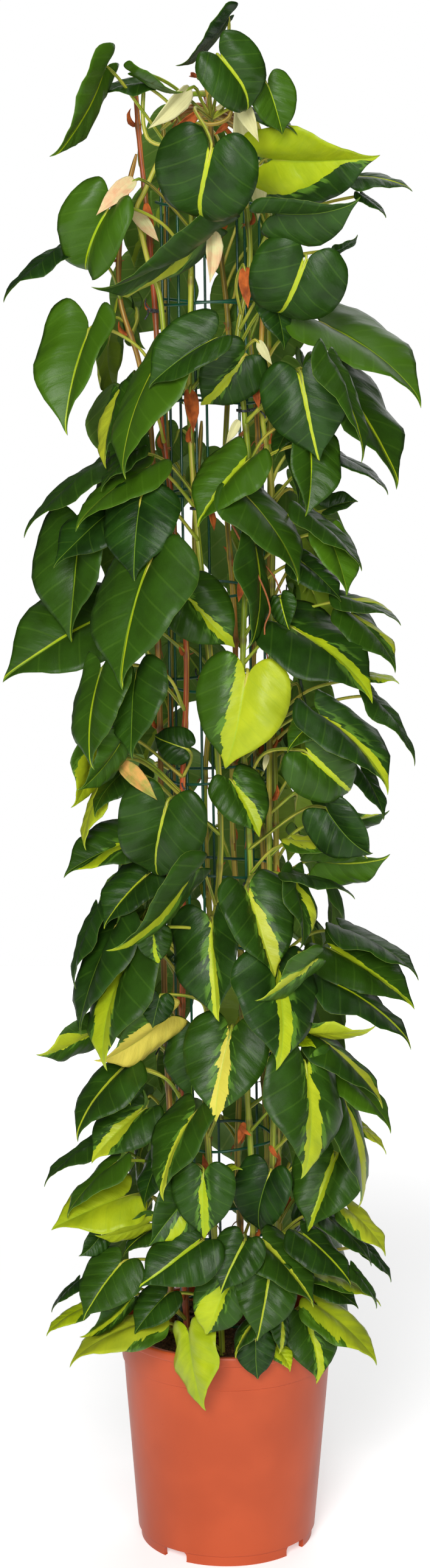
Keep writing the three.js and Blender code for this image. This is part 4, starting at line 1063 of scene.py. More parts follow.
def front_frame(row, index, push):
    """A front leaf as the photograph shows it, pushed forward by push steps."""
    base_x, base_y, tip_x, tip_y, left, right = row
    reach = FOLIAGE["least_reach"] + FOLIAGE["reach_spread"] * (index * FOLIAGE["reach_turn"] % 1)
    depth = foliage_depth(base_x, base_y, reach) - push * FOLIAGE["push_step"]
    base = sight(base_x, base_y, depth)
    scale = np.dot(base - EYE, AHEAD) / VIEW["focal"]
    shown = math.hypot(tip_x - base_x, tip_y - base_y) * scale
    width = max(left + right, FOLIAGE["one_sided"] * max(left, right)) * scale
    # A blade that shows shorter than its width says is bent, so that it looks that short.
    short = min(1, shown * 2 * BLADE["half_width"] / width)
    bend = clamp(math.sqrt(6 * (1 - short) * (1.35 - 0.35 * short)),
                 BLADE["least_bend"], BLADE["most_bend"])
    shingle = FOLIAGE["shingle"] * clamp((short - 0.6) / 0.4, 0, 1)
    pitch = bend / 2 - shingle if short < 1 else -shingle
    tip = sight(tip_x, tip_y, depth + shown * math.tan(pitch))
    half = BLADE["half_width"] * np.linalg.norm(tip - base) * bend / 2 / math.sin(bend / 2)
    turns = [math.acos(clamp(pixels * scale / half, 0.1, 1)) for pixels in (left, right)]
    hang = np.sign(base_y - tip_y) or -1
    outward = -np.sign(base[0] - axis_x(base[2])) * hang
    even = abs(turns[0] - turns[1]) < FOLIAGE["even_turn"]
    side = outward if even else np.sign(turns[0] - turns[1])
    fold = min(abs(turns[0] - turns[1]) / 2, BLADE["most_fold"])
    return blade_frame(base, tip, unit(EYE - base), bend, side * sum(turns) / 2, fold)


# %% A leaf at a side or the back
def side_reach(blade):
    """How far a blade reaches to the left or the right of the column."""
    places = [(s, w * side) for s, w in CAD_HEART for side in (1, -1)] + [(1, 0)]
    points = blade_points(blade, *zip(*places))
    return max(abs(x - axis_x(z)) for x, _, z in points)


def back_frame(index, push):
    """A leaf at a side or the back. One that reaches too far aside is tucked in or moved back."""
    angle = BACK["start"] + BACK["sweep"] * (index * BACK["turn"] / 360 % 1)
    side = BACK["side"] + (BACK["top_side"] - BACK["side"]) * max(0, 4 * index / BACK["count"] - 3)
    while abs(angle - 180) > BACK["turn_back"]:
        for tuck in BACK["tucks"]:
            blade = turned_frame(index, push, angle, tuck)
            if side_reach(blade) <= side:
                return blade
        angle += math.copysign(BACK["turn_back"], 180 - angle)
    return turned_frame(index, push, 180, 0)


def turned_frame(index, push, angle, tuck):
    """A leaf at an angle round the column, turned its own way and tucked in to a share."""
    state = 1000 + 77 * index

    def draw():
        """A number from 0 to 1. The CAD draws the same ones."""
        nonlocal state
        state = (state * 1664525 + 1013904223) % 4294967296
        return state / 4294967296

    draw()
    z = BACK["low"] + (BACK["high"] - BACK["low"]) * (index + 0.5) / BACK["count"]
    length = BACK["length"] + BACK["length_spread"] * draw()
    beyond = BACK["reach"] - BACK["least_reach"] + BACK["reach_spread"] * draw()
    reach = BACK["least_reach"] + beyond * (1 - tuck) + push * FOLIAGE["push_step"]
    base = around(angle, reach, z)
    out = outwards(angle, z)
    side = quarter(out)
    hang = np.array([0, 0, -1]) + out * (0.1 + 0.6 * draw() * (1 - tuck))
    hang = unit(hang + side * (draw() - 0.5) * 1.5)
    bend = BLADE["least_bend"] + 0.6 * draw()
    roll = draw() - 0.5
    to_viewer = unit(out + np.array([0, 0, BACK["lift"]]))
    return blade_frame(base, base + hang * length, to_viewer, bend, roll, 0.35 * draw())


# %% Petioles
def nearest_on(path, target):
    """The point of a stem that is nearest to a target."""
    best = None
    for start, end in zip(path, path[1:]):
        span = end - start
        share = clamp(np.dot(target - start, span) / np.dot(span, span), 0, 1)
        point = start + span * share
        if best is None or np.linalg.norm(point - target) < np.linalg.norm(best - target):
            best = point
    return best


def petiole_path(blade, anchor, bow):
    """From the base of a blade past a neck behind it to the stem. It may bow on the way."""
    neck = (blade["base"] - blade["along"] * (PETIOLE["neck"] * blade["length"] + PETIOLE["neck_step"])
            - blade["normal"] * PETIOLE["neck_drop"])
    if bow == 0:
        return [blade["base"], neck, anchor]
    middle = (neck + anchor) / 2 + np.array([0, 0, bow * np.linalg.norm(neck - anchor)])
    return [blade["base"], neck, middle, anchor]


def neck_ring(blade, path):
    """The four points that the CAD puts round the second point of a petiole."""
    ahead = Vector(path[2] - path[0]).normalized()
    turn = Vector(-blade["along"]).rotation_difference(ahead)
    corners = []
    for across, out in ((1, 1), (1, -1), (-1, -1), (-1, 1)):
        offset = (blade["across"] * across + blade["normal"] * out) * math.sqrt(0.5)
        corners.append(path[1] + np.array(turn @ Vector(offset)) * PETIOLE["radius"])
    return corners


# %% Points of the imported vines
vine_names = [f"vine_{k + 1:02d}" for k in range(len(VINES))]
vine_points = []
for name in vine_names:
    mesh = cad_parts[name].data
    points = np.zeros(len(mesh.vertices) * 3)
    mesh.vertices.foreach_get("co", points)
    points = np.unique(((points.reshape(-1, 3) - np.array(AXIS)) / MM).round(3), axis=0)
    tree = KDTree(len(points))
    for k, point in enumerate(points):
        tree.insert(point, k)
    tree.balance()
    vine_points.append(tree)
print(f"{len(vine_points)} vines to search")

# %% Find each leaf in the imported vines
TIP_MISS = 0.25
NECK_MISS = 0.12


def find_leaf(frame_at):
    """The frame, vine and petiole of a leaf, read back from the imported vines."""
    for push in range(FOLIAGE["push_limit"]):
        blade = frame_at(push)
        half = blade["normal"] * BLADE["thickness"] / 2
        tip = blade_points(blade, 1, 0)[0]
        for vine, tree in enumerate(vine_points):
            if tree.find(tip + half)[2] < TIP_MISS and tree.find(tip - half)[2] < TIP_MISS:
                return blade, vine, find_petiole(blade, vine)
    return None


def find_petiole(blade, vine):
    """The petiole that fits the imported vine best. A straight one is made if none fits."""
    best = (NECK_MISS * 4, None)
    for drop in DROPS:
        anchor = nearest_on(stem_paths[vine], blade["base"] - np.array([0, 0, drop]))
        for bow in BOWS:
            path = petiole_path(blade, anchor, bow)
            miss = sum(vine_points[vine].find(corner)[2] for corner in neck_ring(blade, path))
            if bow:
                miss += max(0, vine_points[vine].find(path[2])[2] - PETIOLE["radius"] - NECK_MISS)
            if miss < best[0]:
                best = (miss, path)
    if best[1] is not None:
        return best[1]
    anchor = nearest_on(stem_paths[vine], blade["base"] - np.array([0, 0, DROPS[0]]))
    return petiole_path(blade, anchor, 0)


narrow = (FOLIAGE["sheath_width"],) * 2
found = [(find_leaf(lambda push: front_frame(row[:6], index, push)), row[6])
         for index, row in enumerate(LEAVES)]
found += [(find_leaf(lambda push: back_frame(index, push)), "ANSSBGNSBL"[index % 10])
          for index in range(BACK["count"])]
found_sheaths = [(find_leaf(lambda push: front_frame(row[:4] + narrow, index, push)), row[4])
                 for index, row in enumerate(SHEATHS)]
missed = sum(leaf is None for leaf, _ in found + found_sheaths)
print(f"{len(found) + len(found_sheaths) - missed} leaves and sheaths found, {missed} missed")

# %% [markdown]
# ## The leaves
# A heart leaf is thin, satin and gently quilted between its side veins, which
# leave the midrib and arch towards the tip. The blade is therefore laid out in
# rows that follow those veins, from the midrib to the edge, so that quilting,
# waves and the groove of the midrib are real shape. Both faces and the edge are
# made, and a colour attribute tells them apart, because the underside is paler.

# %% The outline of a leaf, and where its side veins start
OUTLINE = [
    (0, 0.02), (-0.085, 0.04), (-0.15, 0.1), (-0.19, 0.18), (-0.19, 0.27), (-0.145, 0.36),
    (-0.08, 0.43), (0.05, 0.475), (0.2, 0.485), (0.35, 0.462), (0.49, 0.41), (0.61, 0.33),
    (0.71, 0.232), (0.79, 0.14), (0.855, 0.074), (0.91, 0.04), (0.955, 0.021), (1, 0),
]
VEIN_STARTS = [0, 0, 0, 0, 0, 0, 0.01, 0.03, 0.075, 0.15, 0.26, 0.385, 0.515, 0.635, 0.75, 0.85,
               0.93, 1]
VEIN_STEPS = [0.055, 0.14, 0.27, 0.42, 0.58, 0.74, 0.88, 1]
print(f"{len(OUTLINE)} veins to a side, {len(VEIN_STEPS)} steps along each")


# %% Rows of a leaf
def leaf_template(outline, starts, steps):
    """Half rows of a blade as s and w, with the faces that join both halves."""
    rows_s, rows_w, mids = [], [], []
    for (s, w), start in zip(outline, starts):
        f = np.array(steps)
        rows_s.append(start + (s - start) * (0.55 * f + 0.45 * f**1.9))
        rows_w.append(w * f)
        mids.append(start)
    places, index = [], {}

    def point(s, w):
        key = (round(s, 5), round(w, 5))
        if key not in index:
            index[key] = len(places)
            places.append(key)
        return index[key]

    faces = []
    rims = {}
    for side in (-1, 1):
        grid = [[point(mid, 0)] + [point(s, side * w) for s, w in zip(row_s, row_w)]
                for mid, row_s, row_w in zip(mids, rows_s, rows_w)]
        for upper, lower in zip(grid, grid[1:]):
            for k in range(len(steps)):
                face = [upper[k], lower[k], lower[k + 1], upper[k + 1]]
                face = [v for i, v in enumerate(face) if v != face[i - 1]]
                if len(face) > 2:
                    faces.append(face[::-1] if side < 0 else face)
        rims[side] = [grid[0][k] for k in range(len(steps) + 1)] + [row[-1] for row in grid[1:]]
    rim = rims[-1] + rims[1][-2:0:-1]
    return np.array(places), faces, rim


def refine(points, times):
    """More points on the smooth curve through a list of numbers or pairs."""
    last = len(points) - 1
    fine = []
    for place in np.linspace(0, last, last * times + 1):
        k = min(int(place), last - 1)
        u = place - k
        a, b, c, d = (np.asarray(points[clamp(k + j, 0, last)], float) for j in (-1, 0, 1, 2))
        fine.append(0.5 * (2 * b + (c - a) * u + (2 * a - 5 * b + 4 * c - d) * u**2
                           + (3 * b - a - 3 * c + d) * u**3))
    return fine


fine_outline = [tuple(p) for p in refine(OUTLINE, 2)]
fine_starts = [max(0.0, float(p)) for p in refine(VEIN_STARTS, 2)]
HEART = leaf_template(fine_outline, fine_starts, VEIN_STEPS)
print(f"a leaf has {2 * len(HEART[0])} points and {2 * len(HEART[1]) + len(HEART[2])} faces")

# %% How a leaf is waved and quilted
LEAF_THICKNESS = 0.9
shape = random.Random(23)


def leaf_lift(length):
    """How far a leaf's surface stands off its plain form, in mm."""
    s, w = HEART[0].T
    side = np.abs(w)
    phase, turns = shape.uniform(0, 6.3), shape.uniform(1.0, 1.9)
    vein = s - 0.55 * side
    quilt = 0.0045 * np.cos(2 * math.pi * 5 * vein + 0.6) * np.clip(side / 0.16, 0, 1)
    apart = (w > 0) * shape.uniform(0, 3)
    wave = 0.024 * np.sin(2 * math.pi * turns * s + phase + apart) * (side / 0.45) ** 2
    bowl = shape.uniform(-0.02, 0.05) * np.exp(-(((side - 0.24) / 0.13) ** 2)) * np.clip(1.1 - s, 0, 1)
    groove = -0.012 * np.exp(-((w / 0.022) ** 2)) * np.clip(1.1 - s, 0, 1)
    shoulder = 0.036 * np.exp(-(((side - 0.19) / 0.13) ** 2)) * np.clip(1 - s, 0, 1)
    folds = 0.018 * np.sin(9.5 * vein + phase * 2 + 2 * (w > 0)) * np.clip(side / 0.3, 0, 1)
    margin = -0.035 * (side / 0.45) ** 4
    lobes = 0.04 * np.clip(-s / 0.2, 0, 1) * np.clip(side / 0.2, 0, 1)
    drip = -0.035 * np.clip((s - 0.86) / 0.14, 0, 1) ** 2
    twist = shape.uniform(-0.03, 0.03) * w / 0.45 * s
    return (quilt + wave + bowl + groove + shoulder + folds + margin + lobes + drip + twist) * length


# %% A leaf with two faces
def add_leaf(sheaf, blade, template, lift, thickness, sway=0.0, **paints):
    """Both faces of a blade, closed round its edge. Its tip sways to one side."""
    places, faces, rim = template
    s, w = places.T
    count = len(places)
    at_rim = np.zeros(count)
    at_rim[rim] = 1
    rib = 1.3 * np.exp(-((w / 0.018) ** 2)) * np.clip(1 - 1.15 * s, 0, 1)
    half = thickness / 2 * (1 - 0.45 * at_rim)
    top = blade_points(blade, s, w, lift + half)
    bottom = blade_points(blade, s, w, lift - half - rib * (1 - at_rim))
    aside = blade["across"] * (sway * blade["length"] * np.clip((s - 0.4) / 0.6, 0, 1) ** 2)[:, None]
    top, bottom = top + aside, bottom + aside
    whole = faces + [[v + count for v in face[::-1]] for face in faces]
    for a, b in zip(rim, rim[1:] + rim[:1]):
        whole.append([b, a, a + count, b + count])
    spread = {}
    for name, value in paints.items():
        spread[name] = np.tile(value, (2 * count, 1)).astype(float)
    if "leaf_tone" in spread:
        spread["leaf_tone"][count:, 2] = 1
    both = np.concatenate([places, places])
    spread["leaf_map"] = np.stack([both[:, 1] + 0.5, (both[:, 0] + 0.25) / 1.25], axis=1)
    sheaf.add(np.concatenate([top, bottom]), whole, **spread)


# %% Looks of the leaves
# Half width of the lime band, how far it lies to one side, how ragged its edge
# is, how yellow it is, and how light the green round it is.
LOOKS = {
    "N": (-0.012, 0.0, 0.0, 0.0, 0.0), "S": (0.016, 0.0, 0.004, 0.1, 0.05),
    "B": (0.066, 0.02, 0.02, 0.1, 0.05), "H": (0.2, -0.16, 0.035, 0.1, 0.2),
    "K": (0.62, 0.6, 0.012, 0.0, 0.05), "L": (0.42, 0.1, 0.05, 0.05, 0.5),
    "E": (0.1, 0.24, 0.03, 0.1, 0.15), "W": (0.105, 0.03, 0.028, 0.1, 0.1),
    "F": (0.8, 0.0, 0.02, 0.0, 0.6), "M": (0.011, 0.0, 0.0, 0.0, 0.3),
    "P": (0.032, 0.02, 0.01, 0.1, 0.5), "Y": (0.075, 0.02, 0.03, 0.5, 0.05),
    "G": (0.009, 0.0, 0.0, 0.0, 0.6), "U": (0.006, 0.0, 0.0, 0.2, 1.0),
    "A": (0.03, 0.0, 0.012, 0.1, 0.2), "C": (0.45, 0.2, 0.05, 0.7, 0.4),
    "Q": (0.17, -0.04, 0.04, 0.1, 0.1), "V": (0.72, 0.6, 0.04, 0.0, 0.4),
}


def leaf_paints(look):
    band, aside, ragged, yellow, light = LOOKS[look]
    if band < 0.4:
        band *= shape.uniform(0.75, 1.4)
        aside += shape.uniform(-0.025, 0.025)
    light = clamp(light + shape.uniform(0, 0.34) * shape.random(), 0, 1)
    return {"leaf_band": (band, aside, ragged, shape.random()),
            "leaf_tone": (yellow + shape.uniform(-0.05, 0.15), light, 0, shape.random())}


# %% A petiole that arches
petiole_sheaves = [Sheaf() for _ in VINES]
STALK = {"sides": 8, "tip": 0.6, "thicker": 1.2, "foot": 0.7}
ARCH = {"drop": 0.22, "swing": 0.16, "rise": 0.13}


def add_petiole(vine, blade, path, tone):
    """A petiole, from under the blade to the stem. It leaves the stem upwards and arches over."""
    under = blade_points(blade, [0.3, 0.12], [0, 0], [-1.2, -1.5])
    neck, anchor = path[1], path[-1]
    reach = np.linalg.norm(neck - anchor)
    foot = nearest_on(stem_paths[vine], anchor - np.array([0, 0, ARCH["drop"] * reach]))
    swing = unit(np.cross(neck - foot, [0, 0, 1])) * reach * ARCH["swing"] * (2 * tone - 1)
    middle = neck * 0.45 + foot * 0.55 + swing + np.array([0, 0, ARCH["rise"] * reach])
    line = curve_through([under[0], under[1], neck, middle, foot], 7)
    share = np.linspace(0, 1, len(line))
    radii = (STALK["tip"] + STALK["thicker"] * np.clip(share / 0.25, 0, 1)
             + STALK["foot"] * np.clip((share - 0.8) / 0.2, 0, 1) ** 2)
    tones = np.zeros((len(line), 4))
    tones[:, 0] = tone * 0.3 + 0.08 * share
    tones[:, 1] = 0.2 * tone * share
    tones[:, 3] = tone
    add_stalk(petiole_sheaves[vine], line, radii, STALK["sides"], tones, tone)


# %% All leaves, vine by vine
MOST_SWAY = 0.09
leaf_sheaves = [Sheaf() for _ in VINES]


def grow_leaf(vine, blade, path, look, most_sway=0):
    """A leaf of a vine, with its petiole."""
    lift = leaf_lift(blade["length"])
    sway = shape.uniform(-most_sway, most_sway) if most_sway else 0
    add_leaf(leaf_sheaves[vine], blade, HEART, lift, LEAF_THICKNESS, sway, **leaf_paints(look))
    add_petiole(vine, blade, path, shape.random())


for leaf, look in found:
    if leaf is not None:
        blade, vine, path = leaf
        grow_leaf(vine, blade, path, look, MOST_SWAY)
print(f"{len(found)} leaves on {len(VINES)} vines")

# %% [markdown]
# ## Leaves in the shade
# More leaves can be seen through the mesh, small and dark. A dark sheet inside
# the column would look right from the front only, so small leaves are hung close
# behind the mesh and at its two sides, with petioles of their own.

# %% Small leaves close to the mesh
INNER_LEAF = {"low": 390, "turn": 2.4, "further": (0, 8), "out": 0.15, "sideways": (-0.9, 0.9),
              "bend": (0.5, 1.0), "roll": (-0.5, 0.5), "fold": (0, 0.3), "drop": 20}
INNER_LOOKS = "NSNMB"
INNER = [  # middle angle, spread, count, highest, reach, length
    (180, 46, 30, 1520, 78, (44, 64)), (100, 24, 13, 1400, 84, (54, 76)),
    (258, 24, 13, 1380, 84, (54, 76)),
]
for middle, spread, count, highest, reach, lengths in INNER:
    for k in range(count):
        z = INNER_LEAF["low"] + (highest - INNER_LEAF["low"]) * k / (count - 1)
        angle = middle + spread * math.sin(k * INNER_LEAF["turn"])
        base = around(angle, reach + shape.uniform(*INNER_LEAF["further"]), z)
        out = unit(base - around(middle, 0, z))
        sideways = quarter(out) * shape.uniform(*INNER_LEAF["sideways"])
        hang = unit(np.array([0, 0, -1]) + out * INNER_LEAF["out"] + sideways)
        tip = base + hang * shape.uniform(*lengths)
        bend, roll, fold = (shape.uniform(*INNER_LEAF[key]) for key in ("bend", "roll", "fold"))
        low = base - np.array([0, 0, INNER_LEAF["drop"]])
        feet = [nearest_on(path, low) for path in stem_paths]
        vine = int(np.argmin([np.linalg.norm(foot - base) for foot in feet]))
        blade = blade_frame(base, tip, out, bend, roll, fold)
        grow_leaf(vine, blade, petiole_path(blade, feet[vine], 0), INNER_LOOKS[k % len(INNER_LOOKS)])
    print(f"{count} small leaves at {middle} degrees")

# %% [markdown]
# ## Dry sheaths
# Each new leaf leaves its sheath behind. It is a thin boat-shaped bract, first
# cream or pink, then brown and curled. It has the same make as a leaf, with a
# narrow outline and sides that stand up, and smaller scraps cling to the nodes.

# %% Sheath shapes, tones and places
SHEATH_OUTLINE = [(0, 0.04), (0.03, 0.085), (0.1, 0.13), (0.2, 0.16), (0.32, 0.172), (0.45, 0.165),
                  (0.58, 0.142), (0.7, 0.106), (0.82, 0.06), (0.91, 0.026), (1, 0)]
SHEATH_STARTS = [0, 0.01, 0.05, 0.13, 0.24, 0.36, 0.49, 0.62, 0.75, 0.87, 1]
SHEATH_STEPS = [0.25, 0.5, 0.75, 1]
# How brown, how pink and how olive a sheath is.
SHEATH_TONES = {"cream": (0.1, 0, 0), "pink": (0.2, 0.7, 0), "olive": (0.55, 0, 0.85),
                "dry": (1, 0.4, 0)}
SHEATH_THICKNESS = 0.7
SHEATH_CURL = (0.2, 0.5)
SCRAP = {"share": 0.6, "start": 2.6, "swing": (-1.5, 1.5), "out": (7, 12), "along": (10, 22),
         "bend": (0.4, 1.6), "curl": (0.3, 1.2), "fold": 0.3, "tilt": 0.4}
LOOSE_SHEATHS = [
    (404, 264, 387, 160, -96, "cream"), (417, 262, 424, 363, -92, "cream"),
    (218, 346, 262, 398, -84, "pink"), (392, 690, 371, 730, -92, "cream"),
    (326, 184, 281, 214, -86, "dry"), (374, 204, 352, 222, -82, "dry"),
    (402, 1844, 392, 1880, -84, "dry"), (394, 1850, 414, 1866, -88, "dry"),
    (444, 1882, 458, 1904, -84, "dry"), (346, 838, 352, 872, -80, "dry"),
    (240, 334, 254, 378, -78, "dry"), (300, 385, 312, 430, -74, "dry"),
    (484, 1248, 474, 1284, -90, "cream"), (398, 950, 392, 990, -80, "dry"),
    (280, 560, 286, 600, -78, "dry"), (356, 180, 372, 166, -84, "pink"),
    (346, 340, 352, 378, -76, "dry"), (372, 344, 366, 392, -74, "dry"),
    (420, 630, 426, 672, -78, "dry"), (330, 1108, 322, 1140, -80, "dry"),
    (440, 1240, 434, 1268, -84, "cream"),
]
print(f"{len(LOOSE_SHEATHS)} loose sheaths")

# %% Make the sheaths
SHEATH = leaf_template(SHEATH_OUTLINE, SHEATH_STARTS, SHEATH_STEPS)
sheath_sheaf = Sheaf()


def add_sheath(blade, tone, curl):
    """A bract whose sides stand up and whose edges are crumpled."""
    s, w = SHEATH[0].T
    phase = shape.uniform(0, 6.3)
    crumple = 0.012 * np.sin(17 * s + phase) + 0.009 * np.sin(31 * s - phase + 9 * w)
    lift = (curl * np.abs(w) + crumple * np.abs(w) / 0.14) * blade["length"]
    brown, pink, olive = SHEATH_TONES[tone]
    add_leaf(sheath_sheaf, blade, SHEATH, lift, SHEATH_THICKNESS,
             sheath_tone=(brown + shape.uniform(-0.1, 0.1), pink, olive, shape.random()))


for leaf, tone in found_sheaths:
    if leaf is not None:
        blade, vine, path = leaf
        base, tip = blade["base"], blade_points(blade, 1, 0)[0]
        opened = blade_frame(base, tip, unit(EYE - base), 0.5, shape.uniform(-0.4, 0.4), 0.25)
        add_sheath(opened, tone, shape.uniform(*SHEATH_CURL))
        add_petiole(vine, blade, path, 0.8)
for base_x, base_y, tip_x, tip_y, depth, tone in LOOSE_SHEATHS:
    base, tip = sight(base_x, base_y, depth), sight(tip_x, tip_y, depth - 4)
    roll = shape.uniform(-0.5, 0.5)
    blade = blade_frame(base, tip, unit(EYE - base), shape.uniform(0.3, 0.7), roll, 0.2)
    add_sheath(blade, tone, shape.uniform(*SHEATH_CURL))
for place, heading in node_places:
    if shape.random() > SCRAP["share"]:
        continue
    outward = unit(np.array([place[0] - axis_x(place[2]), place[1], 0]))
    swing = unit(outward + quarter(outward) * shape.uniform(*SCRAP["swing"]))
    tip = place + swing * shape.uniform(*SCRAP["out"]) + unit(heading) * shape.uniform(*SCRAP["along"])
    facing = unit(outward + np.array([0, 0, SCRAP["tilt"]]))
    blade = blade_frame(place + swing * SCRAP["start"], tip, facing, shape.uniform(*SCRAP["bend"]), 0,
                        SCRAP["fold"])
    add_sheath(blade, "dry", shape.uniform(*SCRAP["curl"]))
print(f"{len(sheath_sheaf.points)} sheaths and scraps")

# %% [markdown]
# ## The finish of a Brasil leaf
# Every leaf has its own brush stroke of lime along the midrib, with ragged ends
# that run out along the side veins, and a band of middle green beside it. The
# stroke is drawn from the leaf's own map: how far across and how far along. Its
# width, its lean and its seed come from a colour attribute, so one material
# paints all the leaves and no two are alike.

# %% The map of a leaf, and its stroke of lime
# The stroke is as wide as band says and lies aside from the midrib. Streaks along
# the side veins make its edge ragged, and flecks give it a halo of middle green.
SIDE_VEINS = 31
leafy = Finish("brasil_leaf", Roughness=0.36, Specular_IOR_Level=0.19)
leaf_map = leafy.node("ShaderNodeUVMap", {"uv_map": "leaf_map"})
across = leafy.axis(leaf_map, "X") - 0.5
along = leafy.axis(leaf_map, "Y") * 1.25 - 0.25
band, aside, ragged, seed = leafy.painted("leaf_band")
yellow, light, under, luck = leafy.painted("leaf_tone")
side = abs(across)
vein = along - 0.6 * side
steep = along - 1.5 * side
wide = band.step(0.03, 0.06)
streaks = leafy.noise(leafy.vector(steep * 9, side * 5, seed * 90 + across.sign() * 3), 1, 3)
drift = leafy.noise(leafy.vector(along * 3, seed * 60, 0), 1, 2) - 0.5
halved = abs(aside).step(0.4, 0.5)
centred = along.step(-0.1, 0.7) * (1 - halved) + halved
middle = aside * centred + drift * band.math("MINIMUM", 0.2) * 0.7
slim = 1.35 - along * 0.85
base = (0.2 + band * 1.3).math("MINIMUM", 1)
broad = base + along.step(0.0, 0.2 + luck * 0.55) * (1 - base)
body = slim + (broad - slim) * wide
spill = halved * (1 - band.step(0.66, 0.72)) * (1 - along.step(0, 0.85)) * 0.3
reach = band * body + ragged * (streaks - 0.5) * 4.5 + spill
away = abs(across - middle)
lime = (reach - away).step(-0.002, 0.003)
fleck = leafy.noise(leafy.vector(steep * 7 + 40, side * 7, seed * 70 + across.sign()), 1, 3)
halo = fleck.step(0.5, 0.54) * (1 - (away - reach).step(0.03, 0.1)) * wide
# %% The colours of a leaf
mottle = leafy.noise(leafy.place(), 34, 4)
veins = (vein * SIDE_VEINS).cosine()
veinline = veins.step(0.93, 1.0) * side.step(0.01, 0.05)
midrib = 1 - side.step(0.003, 0.008)
green = leafy.layers(
    paint(18, 40, 9), (mottle.step(0.3, 0.7), paint(31, 62, 12)), (light, paint(64, 100, 14)),
    (halo * 0.75, paint(86, 126, 36)))
bright = leafy.layers(
    paint(134, 158, 2), (mottle.step(0.3, 0.75), paint(160, 178, 7)), (yellow, paint(222, 198, 90)))
back = leafy.layers(
    paint(80, 112, 36), (lime * 0.7, paint(150, 172, 44)), (light * 0.5, paint(100, 140, 36)),
    ((veinline * 0.5 + midrib) * 0.4, paint(150, 168, 84)))
edge = 1 - abs(under * 2 - 1)
face = leafy.layers(
    green, (lime, bright), (veinline * 0.1, paint(100, 140, 40)), (midrib * 0.4, paint(140, 176, 50)),
    (under.step(0.3, 0.7), back), (edge.step(0.05, 0.9) * 0.35, paint(140, 156, 60)))
leafy.set(Base_Color=face, Roughness=0.33 + 0.16 * mottle + 0.18 * under)
fine = leafy.noise(leafy.place(), 900, 2)
ripple = leafy.noise(leafy.vector(vein * 7, side * 3, seed * 40 + across.sign()), 1, 3)
leafy.relief(veins * side.step(0.0, 0.1) * -0.3 + fine * 0.1 + ripple * 1.3, 0.0018, 0.6)
for name, blades in zip(vine_names, leaf_sheaves):
    dress(blades.object(), f"{name}_blades", leafy, "leaves", name)

# %% [markdown]
# ## The skin of stems and petioles
# Young stems are yellow green and striped along their length, older ones turn tan
# or rusty, and a brown ring is left at each node. One material could be made for
# each vine, but one for all is shorter: how brown and how red a stem is, and
# where its nodes are, are painted on its mesh. So is the place round the stem,
# from which the stripes are drawn.

# %% Stem material
bark = Finish("vine_stem", Roughness=0.42, Specular_IOR_Level=0.5)
brown, red, ringed = bark.painted("stem_tone")[:3]
cosine, sine, step, seed = bark.painted("stem_round")
patch = bark.noise(bark.place((1, 1, 0.35)), 26, 4)
line = bark.noise(bark.place((1, 1, 0.06)), 500, 3)
stripe = bark.noise(bark.vector(cosine * 1.7, sine * 1.7, step * 0.02 + seed * 30), 1, 2)
green = bark.blend(patch.step(0.3, 0.7), paint(122, 150, 24), paint(196, 194, 66))
tan = bark.blend(patch.step(0.35, 0.7), paint(134, 88, 24), paint(190, 138, 56))
rust = bark.blend(patch.step(0.4, 0.6), paint(134, 44, 18), paint(196, 84, 36))
mixed = bark.layers(
    green, ((brown + patch - 0.5).step(0.2, 0.8), tan), ((red + patch - 0.5).step(0.25, 0.75), rust),
    (ringed.step(0.3, 0.9) * 0.6, paint(92, 62, 34)),
    (stripe.step(0.52, 0.6) * 0.75, bark.blend(brown, paint(74, 92, 22), paint(92, 62, 26))),
    ((1 - stripe.step(0.36, 0.44)) * 0.6, paint(206, 176, 84)),
    (line.step(0.6, 0.75) * 0.35, paint(70, 48, 26)))
bark.set(Base_Color=mixed, Roughness=0.34 + 0.3 * patch)
bark.relief(line * 0.6 + ringed * (line - 0.5), 0.0006, 0.5)
for name, stems, stalks in zip(vine_names, stem_sheaves, petiole_sheaves):
    dress(stems.object(), f"{name}_stem", bark, "leaves", name)
    dress(stalks.object(), f"{name}_petioles", bark, "leaves", name)
dress(over_sheaf.object(), "stems_over_top", bark, "leaves", vine_names[1])

# %% [markdown]
# ## The skin of the sheaths
# A fresh sheath is cream, pink or olive, and a dry one is rust brown, with fine
# ribs along it. The ribs are noise that is squeezed across the sheath's own map,
# and the tones of each sheath are painted on its mesh.

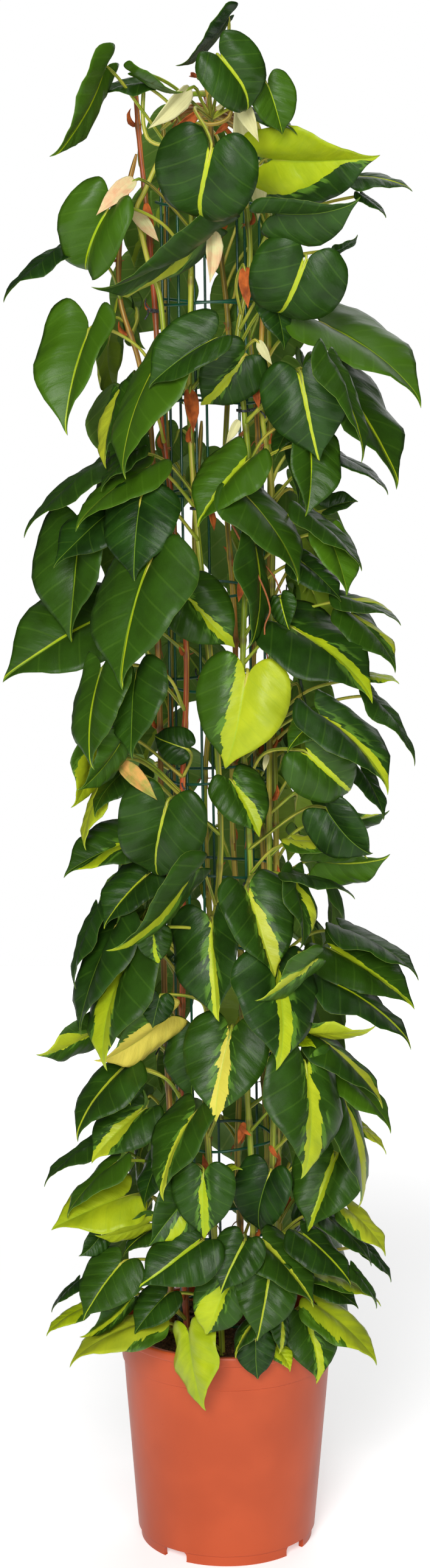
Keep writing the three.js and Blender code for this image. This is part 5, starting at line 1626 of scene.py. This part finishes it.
# %% Sheath material
papery = Finish("dry_sheath", Roughness=0.75, Specular_IOR_Level=0.3)
brown, pink, olive, luck = papery.painted("sheath_tone")
leaf_map = papery.node("ShaderNodeUVMap", {"uv_map": "leaf_map"})
across, along = papery.axis(leaf_map, "X"), papery.axis(leaf_map, "Y")
ribs = papery.noise(papery.vector(across * 60, along * 3, luck * 50), 1, 3)
blotch = papery.noise(papery.place(), 70, 4)
pale = papery.blend(pink * blotch.step(0.3, 0.7), paint(206, 202, 148), paint(214, 150, 118))
dry = papery.blend(blotch.step(0.3, 0.7), paint(122, 52, 16), paint(204, 104, 40))
fresher = papery.blend(blotch.step(0.35, 0.65), paint(132, 138, 34), paint(204, 158, 84))
skin = papery.layers(
    pale, ((brown + blotch - 0.5).step(0.3, 0.75), dry), (olive, fresher),
    (ribs.step(0.5, 0.8) * 0.35, paint(150, 120, 76)))
papery.set(Base_Color=skin)
papery.relief(ribs, 0.0008, 0.7)
dress(sheath_sheaf.object(), "dry_sheaths", papery, "leaves", vine_names[0])

# %% [markdown]
# ## The skin of the roots
# Aerial roots are brown and fibrous. Fine noise between two browns is enough for
# them, because they are only a millimetre or two thick.

# %% Root skin
root_skin = Finish("root_skin", Roughness=0.7)
fibre = root_skin.noise(root_skin.place(), 180, 4)
root_skin.set(Base_Color=root_skin.blend(fibre, paint(92, 48, 20), paint(176, 100, 44)))
root_skin.relief(fibre, 0.0006, 0.5)
dress(roots.object(), "vine_roots", root_skin, "leaves", vine_names[0])

# %% [markdown]
# ## The studio floor
# The plant stands on a plain white floor. It is a plane, wide enough for the
# plant's soft shadow. It glows a little, and more so towards its edges, so that
# it meets the white of the backdrop with no line.

# %% Floor
FLOOR_SIZE = 5.4
fresh()
bpy.ops.mesh.primitive_plane_add(size=FLOOR_SIZE, location=(0, 0, 0))
floor = bpy.context.object
floor.name = "floor"
ground = Finish("pale_floor", Roughness=0.9, Specular_IOR_Level=0.1, Emission_Strength=1.0)
here = ground.place()
far = abs(ground.axis(here, "X")).math("MAXIMUM", abs(ground.axis(here, "Y"))).step(0.9, 2.5)
ground.set(Base_Color=paint(246, 246, 246),
           Emission_Color=ground.blend(far, (0.43, 0.43, 0.43, 1), (1, 1, 1, 1)))
floor.data.materials.append(ground.material)
print(f"a floor {FLOOR_SIZE} m wide")
